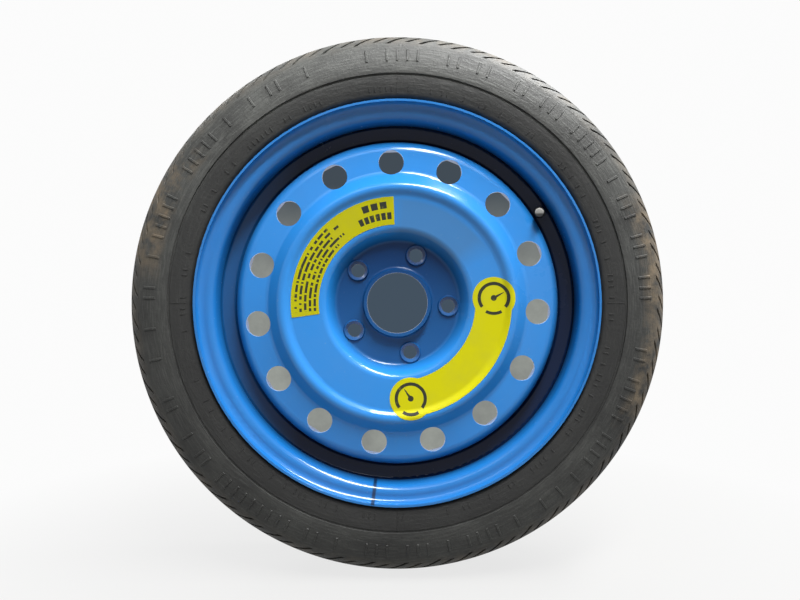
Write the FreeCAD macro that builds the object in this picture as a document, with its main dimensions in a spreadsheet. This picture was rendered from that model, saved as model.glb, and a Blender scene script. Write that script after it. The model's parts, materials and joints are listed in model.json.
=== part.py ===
import FreeCAD, Part
import math
import os
import Sketcher

# Temporary spare wheel: pressed steel wheel, narrow tyre, two stickers and a snap-in valve.
# Millimetres. Origin at the wheel's centre, spin axis along Y, outboard face towards -Y, Z up.
# Clock angles run clockwise from the top as seen from the outboard side.

DIMENSIONS = [
    # Rim, measured on the skin that the tyre touches
    ("bead_seat_diameter", 405.6, "nominal 16 inch bead seat"),
    ("rim_width", 101.6, "between the flanges, 4 inches"),
    ("flange_height", 17.3, "flange top above the bead seat"),
    ("flange_curl_radius", 9.5, "curl of the flange edge"),
    ("flange_reach", 11.5, "flange edge beyond the flange face"),
    ("heel_radius", 6.5, "bend between flange and bead seat"),
    ("bead_seat_width", 19.8, "flange face to the foot of the hump"),
    ("bead_seat_taper", 5, "degrees"),
    ("hump_height", 1.0, "safety hump above the seat"),
    ("hump_run", 3.5, "axial run of the hump's slope"),
    ("hump_top", 6, "axial length of the hump's crest"),
    ("well_depth", 19.4, "drop centre below the bead seat"),
    ("well_wall_tilt", 15, "degrees, outboard wall of the well"),
    ("well_floor", 27, "axial length of the well floor"),
    ("well_bend", 5, "bends of the well"),
    ("rim_sheet", 2.4, "sheet thickness of the rim"),
    # Disc, measured on its outboard skin
    ("disc_sheet", 3.6, "sheet thickness of the disc"),
    ("wheel_offset", 30, "mounting face outboard of the centre plane"),
    ("bore_radius", 33.55, "hub bore"),
    ("collar_height", 9.4, "drawn collar above the hub floor"),
    ("collar_bend", 5, "bend at the collar's root"),
    ("hub_floor_radius", 69, "corner of the hub floor and the pan wall"),
    ("hub_floor_bend", 6, "its bend"),
    ("pan_run", 11, "radial run of the pan wall"),
    ("pan_depth", 16.4, "hub floor below that corner"),
    ("pan_bend", 9, "its bend"),
    ("annulus_run", 38, "radial width of the sticker annulus"),
    ("annulus_rise", 2.2, "rise of the annulus across its width"),
    ("annulus_bend", 7, "its bend"),
    ("ridge_run", 9, "radial run up to the stiffening ridge"),
    ("ridge_rise", 5.8, "ridge corner above the annulus"),
    ("ridge_bend", 8, "its bend"),
    ("vent_ring_run", 17, "radial run from the ridge down to the vent ring"),
    ("vent_ring_drop", 13, "vent ring below the ridge corner"),
    ("vent_ring_bend", 9, "its bend"),
    ("disc_edge_drop", 4, "fall of the vent ring across its width"),
    ("disc_edge_bend", 14, "bend from the vent ring into the skirt"),
    ("skirt_length", 43, "skirt from the disc edge corner to its end"),
    ("skirt_clearance", 0.15, "between the skirt and the rim well"),
    # Holes of the disc
    ("clock_angle", 21.5, "degrees, first bolt hole and first vent"),
    ("vent_count", 15, "hand holes"),
    ("vent_inset", 11.5, "circle of the vents beyond the inner corner of their ring"),
    ("vent_radius", 14, "one vent"),
    ("bolt_count", 5, "wheel nuts"),
    ("bolt_circle_radius", 57.15, "circle of the bolt holes"),
    ("bolt_hole_radius", 7.5, "one bolt hole"),
    ("nut_seat_radius", 10.4, "mouth of the conical nut seat"),
    ("nut_seat_angle", 30, "degrees, half angle of the seat"),
    ("nut_boss_radius", 12.2, "foot of the raised seat"),
    ("nut_boss_top", 11.2, "top of the raised seat"),
    ("nut_boss_height", 2.2, "raised seat above the hub floor"),
    # Fillet welds between skirt and rim
    ("weld_count", 5, "runs of weld"),
    ("weld_angle", 38, "degrees, one run"),
    ("weld_leg", 3.4, "leg of the fillet"),
    ("weld_seam", 0.05, "between weld and sheet"),
    # Tyre, one half of a symmetric section
    ("tyre_diameter", 606, "over the tread"),
    ("crown_radius", 100, "middle of the tread across its width"),
    ("crown_angle", 19, "degrees, fall of the tread beside the crown"),
    ("tread_inset", 16.4, "tread edge inside the widest part of the section"),
    ("tread_edge_bend", 8, "its rounding"),
    ("shoulder_share", 0.2405, "shoulder corner below the tread, as a share of the sidewall"),
    ("shoulder_inset", 6.9, "the same corner inside the widest part"),
    ("shoulder_bend_share", 0.253, "its rounding, as a share of the sidewall"),
    ("belly_share", 0.3544, "widest part above the foot, as a share of the sidewall"),
    ("section_overhang", 0.1, "widest part beyond the rim's flange edge"),
    ("belly_crest", 1.6, "sidewall corner beyond the rounded belly"),
    ("belly_bend_share", 0.76, "rounding of the belly, as a share of the sidewall"),
    ("foot_rise", 3.9, "foot of the sidewall above the flange top"),
    ("foot_inset", 3.9, "the same corner inside the widest part"),
    ("foot_bend", 8, "its rounding"),
    ("chafer_drop", 1.1, "chafer corner below the flange top"),
    ("chafer_bend", 10, "its rounding"),
    ("bead_width", 14.6, "bead base from heel to toe"),
    ("bead_clearance", 0.25, "between bead and rim"),
    ("tread_thickness", 11.5, "crown to inner liner"),
    ("wall_thickness", 6.8, "sidewall at the belly"),
    ("liner_bend_share", 0.177, "roundings of the inner liner, as a share of the sidewall"),
    ("groove_count", 3, "grooves round the tread"),
    ("groove_spacing", 21, "between their middles"),
    ("groove_width", 6, "at the tread surface"),
    ("groove_floor", 4, "width at the bottom"),
    ("groove_depth", 5.2, "tread depth"),
    ("mould_line_drop", 4.5, "fine line round the sidewall, below the widest part"),
    ("mould_line_width", 1.6, "its width"),
    ("mould_line_depth", 0.8, "its depth"),
    ("notch_count", 50, "shoulder notches on each side"),
    ("notch_length", 22, "one notch"),
    ("notch_width", 3.6, "one notch"),
    ("notch_depth", 3.2, "below the shoulder's flank"),
    ("notch_slant", 28, "degrees from the axial plane"),
    # Stickers on the annulus
    ("sticker_thickness", 0.25, "printed film"),
    ("sticker_glue", 0.1, "film above the paint"),
    ("upper_inner_margin", 6, "inner edge beyond the pan corner"),
    ("upper_outer_margin", 1.5, "outer edge inside the annulus corner"),
    ("upper_sticker_start", 262, "degrees, clock angle"),
    ("upper_sticker_span", 96, "degrees"),
    ("lower_inner_margin", 5.5, "inner edge beyond the pan corner"),
    ("lower_outer_margin", 6.5, "outer edge beyond the annulus corner"),
    ("lower_sticker_start", 87, "degrees, middle of the first round end"),
    ("lower_sticker_span", 85, "degrees, between the round ends"),
    ("round_end_radius", 23, "round end of the lower sticker"),
    ("round_end_inset", 25.5, "middle of a round end beyond the pan corner"),
    # Snap-in valve, along its own axis from the rim's visible wall
    ("valve_angle", 57.5, "degrees, clock angle"),
    ("valve_hole_radius", 5.65, "hole in the well wall"),
    ("valve_fit", 0.06, "between rubber and hole"),
    ("valve_seat_gap", 0.35, "between rubber flanges and the wall"),
    ("rubber_outer_radius", 6.4, "bulge outside the wall"),
    ("rubber_outer_length", 3, "straight part of the bulge"),
    ("rubber_tip_radius", 4.5, "end of the rubber taper"),
    ("rubber_length", 20.5, "rubber beyond the wall"),
    ("rubber_inner_radius", 7, "flange inside the wall"),
    ("rubber_inner_length", 3.4, "its straight part"),
    ("rubber_tail_radius", 5, "inner end of the rubber"),
    ("rubber_tail", 7.5, "inner end behind the wall"),
    ("stem_radius", 3, "brass inside the rubber"),
    ("thread_radius", 3.87, "cap thread, over its crests"),
    ("stem_shoulder", 21, "start of the cap thread"),
    ("stem_tip", 31.5, "mouth of the stem"),
    ("stem_bore", 1.75, "air way"),
    ("core_chamber", 2.45, "bore that takes the core"),
    ("core_seat", 20, "bottom of that bore"),
    ("core_fit", 0.05, "clearance of the core's pieces"),
    ("gasket_height", 1.6, "core gasket"),
    ("barrel_bottom", 18.4, "lower end of the core barrel"),
    ("barrel_neck", 1.4, "barrel below the gasket"),
    ("barrel_top", 29.6, "upper end of the core barrel"),
    ("spring_chamber", 1.6, "bore that takes the spring"),
    ("spring_floor", 24.4, "its bottom"),
    ("pin_radius", 0.6, "core pin"),
    ("pin_fit", 0.08, "clearance of the pin in the barrel"),
    ("pin_tail", 15.2, "lower end of the pin"),
    ("pin_collar_radius", 1.4, "collar above the spring"),
    ("pin_collar_bottom", 28.2, "its lower face"),
    ("pin_collar_height", 0.7, "its height"),
    ("pin_tip", 31.1, "upper end of the pin"),
    ("cup_radius", 1.35, "seal cup under the barrel"),
    ("cup_height", 1.6, "its height"),
    ("cup_gap", 0.05, "cup below the barrel at rest"),
    ("spring_wire", 0.17, "wire radius"),
    ("spring_coil", 1.15, "coil radius to the wire's middle"),
    ("spring_turns", 5, "turns"),
    ("cap_radius", 4.95, "over the cap's ribs"),
    ("cap_fit", 0.1, "between cap and thread"),
    ("cap_bottom", 21.5, "mouth of the cap"),
    ("cap_top", 34.4, "closed end"),
    ("cap_rounding", 1.2, "edge of the closed end"),
    ("cap_rib_count", 14, "grip flutes"),
    ("cap_flute_radius", 0.7, "one flute"),
    ("cap_flute_depth", 0.35, "depth of a flute"),
    ("seal_gap", 0.3, "seal above the stem's mouth"),
    ("seal_thickness", 0.9, "rubber seal in the cap"),
    ("seal_fit", 0.15, "seal inside the cap"),
]

doc = FreeCAD.newDocument("spare_wheel")
sheet = doc.addObject("Spreadsheet::Sheet", "Dimensions")
for row, (alias, number, note) in enumerate(DIMENSIONS, start=1):
    sheet.set(f"A{row}", alias)
    sheet.set(f"B{row}", str(number))
    sheet.set(f"C{row}", note)
    sheet.setAlias(f"B{row}", alias)
doc.recompute()

WORDS = {alias: f"Dimensions.{alias}" for alias, _, _ in DIMENSIONS}
OUTBOARD = FreeCAD.Vector(0, -1, 0)
ORIGIN = FreeCAD.Vector(0, 0, 0)
# A profile sketch is turned over, so that its x is the radius and its y points outboard.
PROFILE_PLANE = FreeCAD.Placement(ORIGIN, FreeCAD.Rotation(FreeCAD.Vector(1, 0, 0), 180))
sub_parts = []


def size(text):
    """Turns a formula in plain aliases, such as '{rim_width} / 2', into a cell expression."""
    return text.format(**WORDS)


def value(text):
    """The number that such a formula has now."""
    return float(sheet.evalExpression(size(text)))


def bind(item, prop, text):
    """Binds one property of an object to a formula."""
    item.setExpression(prop, size(text))


def clock(angle):
    """Unit vector from the wheel's centre at a clock angle in degrees."""
    turn = math.radians(angle)
    return FreeCAD.Vector(math.sin(turn), 0, math.cos(turn))


def facing_out(angle, centre=ORIGIN):
    """A placement whose z points outboard and whose x points along a clock angle."""
    turn = FreeCAD.Rotation(clock(angle), FreeCAD.Vector(), OUTBOARD, "ZXY")
    return FreeCAD.Placement(centre, turn)


def keep(item, label):
    """Marks an object as a finished sub-part with its file name."""
    item.Label = label
    sub_parts.append(item)
    return item


# Sketches


def draw_outline(sketch, corners, closed=True):
    """Draws lines through corners given as (x, y) or (x, y, bend radius), each one a formula."""
    total = len(corners)
    spots = [FreeCAD.Vector(value(c[0]), value(c[1]), 0) for c in corners]
    bends = [value(c[2]) if len(c) > 2 else 0 for c in corners]
    arrive = list(spots)
    leave = list(spots)
    middle = list(spots)
    for i in range(total):
        if bends[i] == 0:
            continue
        back = (spots[i - 1] - spots[i]).normalize()
        ahead = (spots[(i + 1) % total] - spots[i]).normalize()
        half = back.getAngle(ahead) / 2
        inward = (back + ahead).normalize()
        arrive[i] = spots[i] + back * (bends[i] / math.tan(half))
        leave[i] = spots[i] + ahead * (bends[i] / math.tan(half))
        middle[i] = spots[i] + inward * (bends[i] / math.sin(half) - bends[i])

    points = []
    for spot, corner in zip(spots, corners):
        point = sketch.addGeometry(Part.Point(spot), True)
        for kind, number, formula in (("DistanceX", spot.x, corner[0]), ("DistanceY", spot.y, corner[1])):
            rule = sketch.addConstraint(Sketcher.Constraint(kind, -1, 1, point, 1, number))
            bind(sketch, f"Constraints[{rule}]", formula)
        points.append(point)

    lines = []
    for i in range(total if closed else total - 1):
        j = (i + 1) % total
        line = sketch.addGeometry(Part.LineSegment(leave[i], arrive[j]), False)
        for end, corner in ((1, i), (2, j)):
            if bends[corner] == 0:
                sketch.addConstraint(Sketcher.Constraint("Coincident", line, end, points[corner], 1))
            else:
                sketch.addConstraint(Sketcher.Constraint("PointOnObject", points[corner], 1, line))
        lines.append(line)

    for i in range(total):
        if bends[i] == 0:
            continue
        arc = sketch.addGeometry(Part.Arc(arrive[i], middle[i], leave[i]), False)
        forwards = sketch.getPoint(arc, 1).distanceToPoint(arrive[i]) < 1e-6
        first, second = (1, 2) if forwards else (2, 1)
        sketch.addConstraint(Sketcher.Constraint("Tangent", lines[i - 1], 2, arc, first))
        sketch.addConstraint(Sketcher.Constraint("Tangent", arc, second, lines[i], 1))
        rule = sketch.addConstraint(Sketcher.Constraint("Radius", arc, bends[i]))
        bind(sketch, f"Constraints[{rule}]", corners[i][2])


def draw_circle(sketch, x, y, radius):
    """Draws one circle whose centre and radius are formulas."""
    middle = FreeCAD.Vector(value(x), value(y), 0)
    circle = sketch.addGeometry(Part.Circle(middle, FreeCAD.Vector(0, 0, 1), value(radius)), False)
    rules = (
        (Sketcher.Constraint("DistanceX", -1, 1, circle, 3, middle.x), x),
        (Sketcher.Constraint("DistanceY", -1, 1, circle, 3, middle.y), y),
        (Sketcher.Constraint("Radius", circle, value(radius)), radius),
    )
    for rule, formula in rules:
        number = sketch.addConstraint(rule)
        bind(sketch, f"Constraints[{number}]", formula)


def profile_path(name, corners):
    """A free sketch of an open sheet-metal path, x the radius and y outboard."""
    sketch = doc.addObject("Sketcher::SketchObject", name)
    sketch.Placement = PROFILE_PLANE
    draw_outline(sketch, corners, closed=False)
    return sketch


def body_sketch(body, name, plane, offset=None):
    """An empty sketch on one of a body's own planes."""
    planes = {feature.Role: feature for feature in body.Origin.OriginFeatures}
    sketch = body.newObject("Sketcher::SketchObject", name)
    sketch.AttachmentSupport = (planes[plane], [""])
    sketch.MapMode = "FlatFace"
    if offset is not None:
        sketch.AttachmentOffset = offset
    return sketch


# Features that several sub-parts share


def thicken(name, source, formula, fill=True):
    """Offsets a path to one side, as a filled strip or as a parallel path."""
    strip = doc.addObject("Part::Offset2D", name)
    strip.Source = source
    strip.Mode = "Skin"
    strip.Join = "Arc"
    strip.Fill = fill
    bind(strip, "Value", formula)
    return strip


def spin(name, source, angle="360"):
    """Turns a flat face about the wheel's axis into a solid."""
    solid = doc.addObject("Part::Revolution", name)
    solid.Source = source
    solid.Axis = FreeCAD.Vector(0, 1, 0)
    solid.Base = ORIGIN
    solid.Solid = True
    bind(solid, "Angle", angle)
    return solid


def spin_profile(body, sketch, kind, name):
    """Turns a sketch about its own vertical axis inside a body."""
    feature = body.newObject(f"PartDesign::{kind}", name)
    feature.Profile = sketch
    feature.ReferenceAxis = (sketch, ["V_Axis"])
    feature.Angle = 360
    body.Tip = feature
    return feature


def pierce(body, sketch, name):
    """Cuts a sketch right through a body, both ways."""
    feature = body.newObject("PartDesign::Pocket", name)
    feature.Profile = sketch
    feature.Type = "ThroughAll"
    feature.Midplane = True
    body.Tip = feature
    return feature


def repeat_round(body, features, name, axis, count):
    """Repeats features round one of the body's axes."""
    axes = {feature.Role: feature for feature in body.Origin.OriginFeatures}
    pattern = body.newObject("PartDesign::PolarPattern", name)
    pattern.Originals = features
    pattern.Axis = (axes[axis], [""])
    pattern.Angle = 360
    bind(pattern, "Occurrences", count)
    body.Tip = pattern
    return pattern


def turned_piece(label, corners, placement):
    """A body turned about its own z axis from a closed profile of (radius, height)."""
    body = doc.addObject("PartDesign::Body", label)
    sketch = body_sketch(body, f"{label}_profile", "XZ_Plane")
    draw_outline(sketch, corners)
    spin_profile(body, sketch, "Revolution", f"{label}_turned")
    body.Placement = placement
    return keep(body, label)


# Rim: one strip of sheet rolled to its section, with the valve hole

SEAT = "{bead_seat_diameter} / 2"
HALF_RIM = "{rim_width} / 2"
FLANGE_TOP = f"({SEAT} + {{flange_height}})"
FLANGE_EDGE = f"({HALF_RIM} + {{flange_reach}})"
SEAT_END = f"({HALF_RIM} - {{bead_seat_width}})"
SEAT_FOOT = f"({SEAT} - {{bead_seat_width}} * tan({{bead_seat_taper}}))"
HUMP_TOP = f"({SEAT_FOOT} + {{hump_height}})"
HUMP_START = f"({SEAT_END} - {{hump_run}})"
HUMP_END = f"({HUMP_START} - {{hump_top}})"
WELL_SKIN = f"({SEAT} - {{well_depth}})"
WELL_RISE = f"({HUMP_TOP} - {WELL_SKIN})"
WELL_START = f"({HUMP_END} - {WELL_RISE} * tan({{well_wall_tilt}}))"
WELL_END = f"({WELL_START} - {{well_floor}})"
WELL_INSIDE = f"({WELL_SKIN} - {{rim_sheet}})"


def flange_and_seat(side):
    """Corners from a flange edge in to the hump's crest; side is '' outboard or '-' inboard."""
    return [
        (FLANGE_TOP, f"{side}{FLANGE_EDGE}"),
        (FLANGE_TOP, f"{side}({HALF_RIM})", "{flange_curl_radius}"),
        (SEAT, f"{side}({HALF_RIM})", "{heel_radius}"),
        (SEAT_FOOT, f"{side}{SEAT_END}", "{well_bend}"),
        (HUMP_TOP, f"{side}{HUMP_START}", "{well_bend}"),
    ]


def valve_placement():
    """Frame of the valve: z along its axis, origin on the visible side of the well wall."""
    tilt = math.radians(value("{well_wall_tilt}"))
    angle = value("{valve_angle}")
    outward = clock(angle) * -math.sin(tilt) + OUTBOARD * math.cos(tilt)
    radius = value(f"({HUMP_TOP} + {WELL_SKIN}) / 2")
    depth = value(f"({HUMP_END} + {WELL_START}) / 2")
    skin = clock(angle) * radius + OUTBOARD * depth
    sideways = clock(angle + 90)
    turn = FreeCAD.Rotation(sideways, FreeCAD.Vector(), outward, "ZXY")
    return FreeCAD.Placement(skin + outward * value("{rim_sheet}"), turn)


VALVE = valve_placement()


def make_rim():
    corners = flange_and_seat("")
    corners.append((HUMP_TOP, HUMP_END, "{well_bend}"))
    corners.append((WELL_SKIN, WELL_START, "{well_bend}"))
    corners.append((WELL_SKIN, WELL_END, "{well_bend}"))
    corners.append((HUMP_TOP, f"-{HUMP_END}", "{well_bend}"))
    corners.extend(reversed(flange_and_seat("-")))
    path = profile_path("rim_path", corners)
    strip = thicken("rim_strip", path, "-{rim_sheet}")
    hoop = spin("rim_hoop", strip)
    drill = doc.addObject("Part::Cylinder", "valve_hole")
    bind(drill, "Radius", "{valve_hole_radius}")
    bind(drill, "Height", "4 * {rim_sheet}")
    below = FreeCAD.Vector(0, 0, -value("2.5 * {rim_sheet}"))
    drill.Placement = VALVE.multiply(FreeCAD.Placement(below, FreeCAD.Rotation()))
    rim = doc.addObject("Part::Cut", "rim")
    rim.Base = hoop
    rim.Tool = drill
    return keep(rim, "rim")


# Disc: one pressing from the hub collar out to the skirt, with vents and nut seats

HUB_FLOOR = "({wheel_offset} + {disc_sheet})"
PAN = "({hub_floor_radius} + {pan_run})"
ANNULUS = f"({PAN} + {{annulus_run}})"
RIDGE = f"({ANNULUS} + {{ridge_run}})"
VENT_RING = f"({RIDGE} + {{vent_ring_run}})"
VENT_CIRCLE = f"({VENT_RING} + {{vent_inset}})"
COLLAR_SKIN = "({bore_radius} + {disc_sheet})"
PAN_LEVEL = f"({HUB_FLOOR} + {{pan_depth}})"
ANNULUS_LEVEL = f"({PAN_LEVEL} + {{annulus_rise}})"
RIDGE_LEVEL = f"({ANNULUS_LEVEL} + {{ridge_rise}})"
VENT_LEVEL = f"({RIDGE_LEVEL} - {{vent_ring_drop}})"
EDGE_LEVEL = f"({VENT_LEVEL} - {{disc_edge_drop}})"
SKIRT_SKIN = f"({WELL_INSIDE} - {{skirt_clearance}})"
SKIRT_END = f"({EDGE_LEVEL} - {{skirt_length}})"


def disc_path():
    """Outboard skin of the pressing, from the collar's end to the skirt's end."""
    return profile_path("disc_path", [
        (COLLAR_SKIN, f"({HUB_FLOOR} + {{collar_height}})"),
        (COLLAR_SKIN, HUB_FLOOR, "{collar_bend}"),
        ("{hub_floor_radius}", HUB_FLOOR, "{hub_floor_bend}"),
        (PAN, PAN_LEVEL, "{pan_bend}"),
        (ANNULUS, ANNULUS_LEVEL, "{annulus_bend}"),
        (RIDGE, RIDGE_LEVEL, "{ridge_bend}"),
        (VENT_RING, VENT_LEVEL, "{vent_ring_bend}"),
        (SKIRT_SKIN, EDGE_LEVEL, "{disc_edge_bend}"),
        (SKIRT_SKIN, SKIRT_END),
    ])


def make_disc(path):
    strip = thicken("disc_strip", path, "-{disc_sheet}")
    pressing = spin("disc_pressing", strip)
    doc.recompute()
    disc = doc.addObject("PartDesign::Body", "wheel_disc")
    disc.BaseFeature = pressing
    doc.recompute()

    vent = body_sketch(disc, "vent_circle", "XZ_Plane")
    across = f"{VENT_CIRCLE} * sin({{clock_angle}})"
    up = f"{VENT_CIRCLE} * cos({{clock_angle}})"
    draw_circle(vent, across, up, "{vent_radius}")
    first_vent = pierce(disc, vent, "first_vent")
    repeat_round(disc, [first_vent], "vents", "Y_Axis", "{vent_count}")

    spot = clock(value("{clock_angle}")) * value("{bolt_circle_radius}")
    floor = facing_out(value("{clock_angle}"), spot + OUTBOARD * value(HUB_FLOOR))
    boss = disc.newObject("PartDesign::AdditiveCone", "first_nut_boss")
    bind(boss, "Radius1", "{nut_boss_radius}")
    bind(boss, "Radius2", "{nut_boss_top}")
    bind(boss, "Height", "{nut_boss_height}")
    boss.Placement = floor
    disc.Tip = boss
    bosses = repeat_round(disc, [boss], "nut_bosses", "Y_Axis", "{bolt_count}")

    hole = body_sketch(disc, "bolt_circle", "XZ_Plane")
    across = "{bolt_circle_radius} * sin({clock_angle})"
    up = "{bolt_circle_radius} * cos({clock_angle})"
    draw_circle(hole, across, up, "{bolt_hole_radius}")
    first_hole = pierce(disc, hole, "first_bolt_hole")
    repeat_round(disc, [first_hole], "bolt_holes", "Y_Axis", "{bolt_count}")

    depth = "({nut_seat_radius} - {bolt_hole_radius}) / tan({nut_seat_angle})"
    seat = disc.newObject("PartDesign::SubtractiveCone", "first_nut_seat")
    bind(seat, "Radius1", "{bolt_hole_radius}")
    bind(seat, "Radius2", "{nut_seat_radius}")
    bind(seat, "Height", depth)
    lift = OUTBOARD * (value("{nut_boss_height}") - value(depth))
    seat.Placement = FreeCAD.Placement(floor.Base + lift, floor.Rotation)
    disc.Tip = seat
    repeat_round(disc, [seat], "nut_seats", "Y_Axis", "{bolt_count}")
    return keep(disc, "wheel_disc")


# Welds: short fillets between the skirt's end and the well


def make_welds():
    foot = f"({SKIRT_END} - {{weld_seam}})"
    wall = f"({WELL_INSIDE} - {{weld_seam}})"
    sketch = doc.addObject("Sketcher::SketchObject", "weld_section")
    sketch.Placement = PROFILE_PLANE
    draw_outline(sketch, [
        (wall, foot),
        (f"{wall} - {{weld_leg}}", foot),
        (f"{wall} - {{weld_leg}} / 3", f"{foot} - {{weld_leg}} / 2"),
        (wall, f"{foot} - {{weld_leg}}"),
    ])
    face = doc.addObject("Part::Face", "weld_face")
    face.Sources = [sketch]
    face.FaceMakerClass = "Part::FaceMakerBullseye"
    runs = []
    for number in range(round(value("{weld_count}"))):
        run = spin(f"weld_run_{number}", face, "{weld_angle}")
        turn = value("{clock_angle}") + 360 / value("{weld_count}") * number
        run.Placement = FreeCAD.Placement(ORIGIN, FreeCAD.Rotation(FreeCAD.Vector(0, 1, 0), turn))
        runs.append(run)
    welds = doc.addObject("Part::Compound", "disc_welds")
    welds.Links = runs
    return keep(welds, "disc_welds")


# Stickers: printed film laid over the disc's skin and cut to outline


def film_over(path):
    """The film as a full ring over the whole disc, before it is cut out."""
    glue = thicken("sticker_glue_line", path, "{sticker_glue}", fill=False)
    film = thicken("sticker_film", glue, "{sticker_thickness}")
    return spin("sticker_ring", film)


def arc_band(name, inner, outer, start, span):
    """A ring segment from a clock angle onwards, deep enough to cut any film."""
    level = OUTBOARD * value(EDGE_LEVEL)
    placement = facing_out(value(start) + value(span), level)
    drums = []
    for suffix, radius in (("_outside", outer), ("_inside", inner)):
        drum = doc.addObject("Part::Cylinder", name + suffix)
        bind(drum, "Radius", radius)
        bind(drum, "Height", RIDGE_LEVEL)
        bind(drum, "Angle", span)
        drum.Placement = placement
        drums.append(drum)
    band = doc.addObject("Part::Cut", name)
    band.Base = drums[0]
    band.Tool = drums[1]
    return band


def cut_film(ring, outline, label):
    sticker = doc.addObject("Part::Common", label)
    sticker.Base = ring
    sticker.Tool = outline
    return keep(sticker, label)


def make_stickers(path):
    ring = film_over(path)
    upper = arc_band(
        "upper_outline", f"{PAN} + {{upper_inner_margin}}", f"{ANNULUS} - {{upper_outer_margin}}",
        "{upper_sticker_start}", "{upper_sticker_span}",
    )
    cut_film(ring, upper, "upper_sticker")

    pieces = [arc_band(
        "lower_band", f"{PAN} + {{lower_inner_margin}}", f"{ANNULUS} + {{lower_outer_margin}}",
        "{lower_sticker_start}", "{lower_sticker_span}",
    )]
    for number in range(2):
        angle = value("{lower_sticker_start}") + value("{lower_sticker_span}") * number
        end = doc.addObject("Part::Cylinder", f"round_end_{number}")
        bind(end, "Radius", "{round_end_radius}")
        bind(end, "Height", RIDGE_LEVEL)
        spot = clock(angle) * value(f"{PAN} + {{round_end_inset}}") + OUTBOARD * value(EDGE_LEVEL)
        end.Placement = facing_out(angle, spot)
        pieces.append(end)
    lower = doc.addObject("Part::MultiFuse", "lower_outline")
    lower.Shapes = pieces
    cut_film(ring, lower, "lower_sticker")


# Tyre: one hollow moulding with beads, sidewalls, grooved tread and notched shoulders

TREAD = "{tyre_diameter} / 2"
CROWN_CORNER = f"({TREAD} + {{crown_radius}} * (1 / cos({{crown_angle}}) - 1))"
SECTION = f"({FLANGE_EDGE} + {{section_overhang}})"
TREAD_WIDTH = f"({SECTION} - {{tread_inset}})"
TREAD_EDGE = f"({CROWN_CORNER} - {TREAD_WIDTH} * tan({{crown_angle}}))"
FOOT = f"({FLANGE_TOP} + {{foot_rise}})"
FOOT_WIDTH = f"({SECTION} - {{foot_inset}})"
SIDEWALL = f"({TREAD} - {FOOT})"
BELLY = f"({FOOT} + {{belly_share}} * {SIDEWALL})"
SHOULDER = f"({TREAD} - {{shoulder_share}} * {SIDEWALL})"
SHOULDER_WIDTH = f"({SECTION} - {{shoulder_inset}})"
LINER_BEND = f"({{liner_bend_share}} * {SIDEWALL})"
MOULD_LINE = f"({BELLY} - {{mould_line_drop}})"
BEAD_FACE = f"({HALF_RIM} - {{bead_clearance}})"
BEAD_TOE = f"({BEAD_FACE} - {{bead_width}})"
HEEL = f"({SEAT} + {{bead_clearance}})"
TOE = f"({HEEL} - {{bead_width}} * tan({{bead_seat_taper}}))"
LINER = f"({TREAD} - {{tread_thickness}})"


def half_outside(side):
    """Outer corners of one half section from the bead toe out to the tread edge."""
    return [
        (TOE, f"{side}{BEAD_TOE}"),
        (HEEL, f"{side}{BEAD_FACE}", "{heel_radius} + {bead_clearance}"),
        (f"{FLANGE_TOP} - {{chafer_drop}}", f"{side}{BEAD_FACE}", "{chafer_bend}"),
        (FOOT, f"{side}{FOOT_WIDTH}", "{foot_bend}"),
        (BELLY, f"{side}({SECTION} + {{belly_crest}})", f"{{belly_bend_share}} * {SIDEWALL}"),
        (SHOULDER, f"{side}{SHOULDER_WIDTH}", f"{{shoulder_bend_share}} * {SIDEWALL}"),
        (TREAD_EDGE, f"{side}{TREAD_WIDTH}", "{tread_edge_bend}"),
    ]


def half_liner(side):
    """Inner corners of one half section from the crown down to the bead."""
    return [
        (f"{TREAD_EDGE} - {{tread_thickness}} * 0.7", f"{side}({TREAD_WIDTH} - 5)", LINER_BEND),
        (BELLY, f"{side}({SECTION} - {{wall_thickness}})", f"3 * {LINER_BEND}"),
        (FOOT, f"{side}({FOOT_WIDTH} - 1.5 * {{wall_thickness}})", LINER_BEND),
    ]


def groove_corners(number):
    """Corners of one tread groove; the grooves lie evenly about the middle."""
    middle = f"({number} - ({{groove_count}} - 1) / 2) * {{groove_spacing}}"
    surface = f"{TREAD} - pow({middle}; 2) / (2 * {{crown_radius}})"
    floor = f"{surface} - {{groove_depth}}"
    return [
        (floor, f"{middle} - {{groove_floor}} / 2"),
        (floor, f"{middle} + {{groove_floor}} / 2"),
        (f"{surface} + {{groove_depth}}", f"{middle} + {{groove_width}} - {{groove_floor}} / 2"),
        (f"{surface} + {{groove_depth}}", f"{middle} - {{groove_width}} + {{groove_floor}} / 2"),
    ]


def mould_line_corners(side):
    """Corners of the fine V groove round one sidewall."""
    bottom = f"{side}({SECTION} - {{mould_line_depth}})"
    top = f"{side}({SECTION} + 2 * {{mould_line_depth}})"
    return [
        (MOULD_LINE, bottom),
        (f"{MOULD_LINE} + 1.5 * {{mould_line_width}}", top),
        (f"{MOULD_LINE} - 1.5 * {{mould_line_width}}", top),
    ]


def notch_placement(side, turn):
    """Frame of one shoulder notch: x along it, z out of the shoulder's flank."""
    radial = clock(turn)
    axial = OUTBOARD * side
    run_in = value(f"{TREAD_EDGE} - {SHOULDER}")
    run_out = value(f"{SHOULDER_WIDTH} - {TREAD_WIDTH}")
    down = (axial * run_out - radial * run_in).normalize()
    out = (radial * run_out + axial * run_in).normalize()
    slant = math.radians(value("{notch_slant}"))
    along = down * math.cos(slant) + clock(turn + 90) * math.sin(slant)
    middle = radial * value(f"({TREAD_EDGE} + {SHOULDER}) / 2")
    middle = middle + axial * value(f"({TREAD_WIDTH} + {SHOULDER_WIDTH}) / 2")
    rotation = FreeCAD.Rotation(along, FreeCAD.Vector(), out, "XZY")
    corner = FreeCAD.Vector(-value("{notch_length}") / 2, -value("{notch_width}") / 2, -value("{notch_depth}"))
    return FreeCAD.Placement(middle, rotation).multiply(FreeCAD.Placement(corner, FreeCAD.Rotation()))


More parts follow.
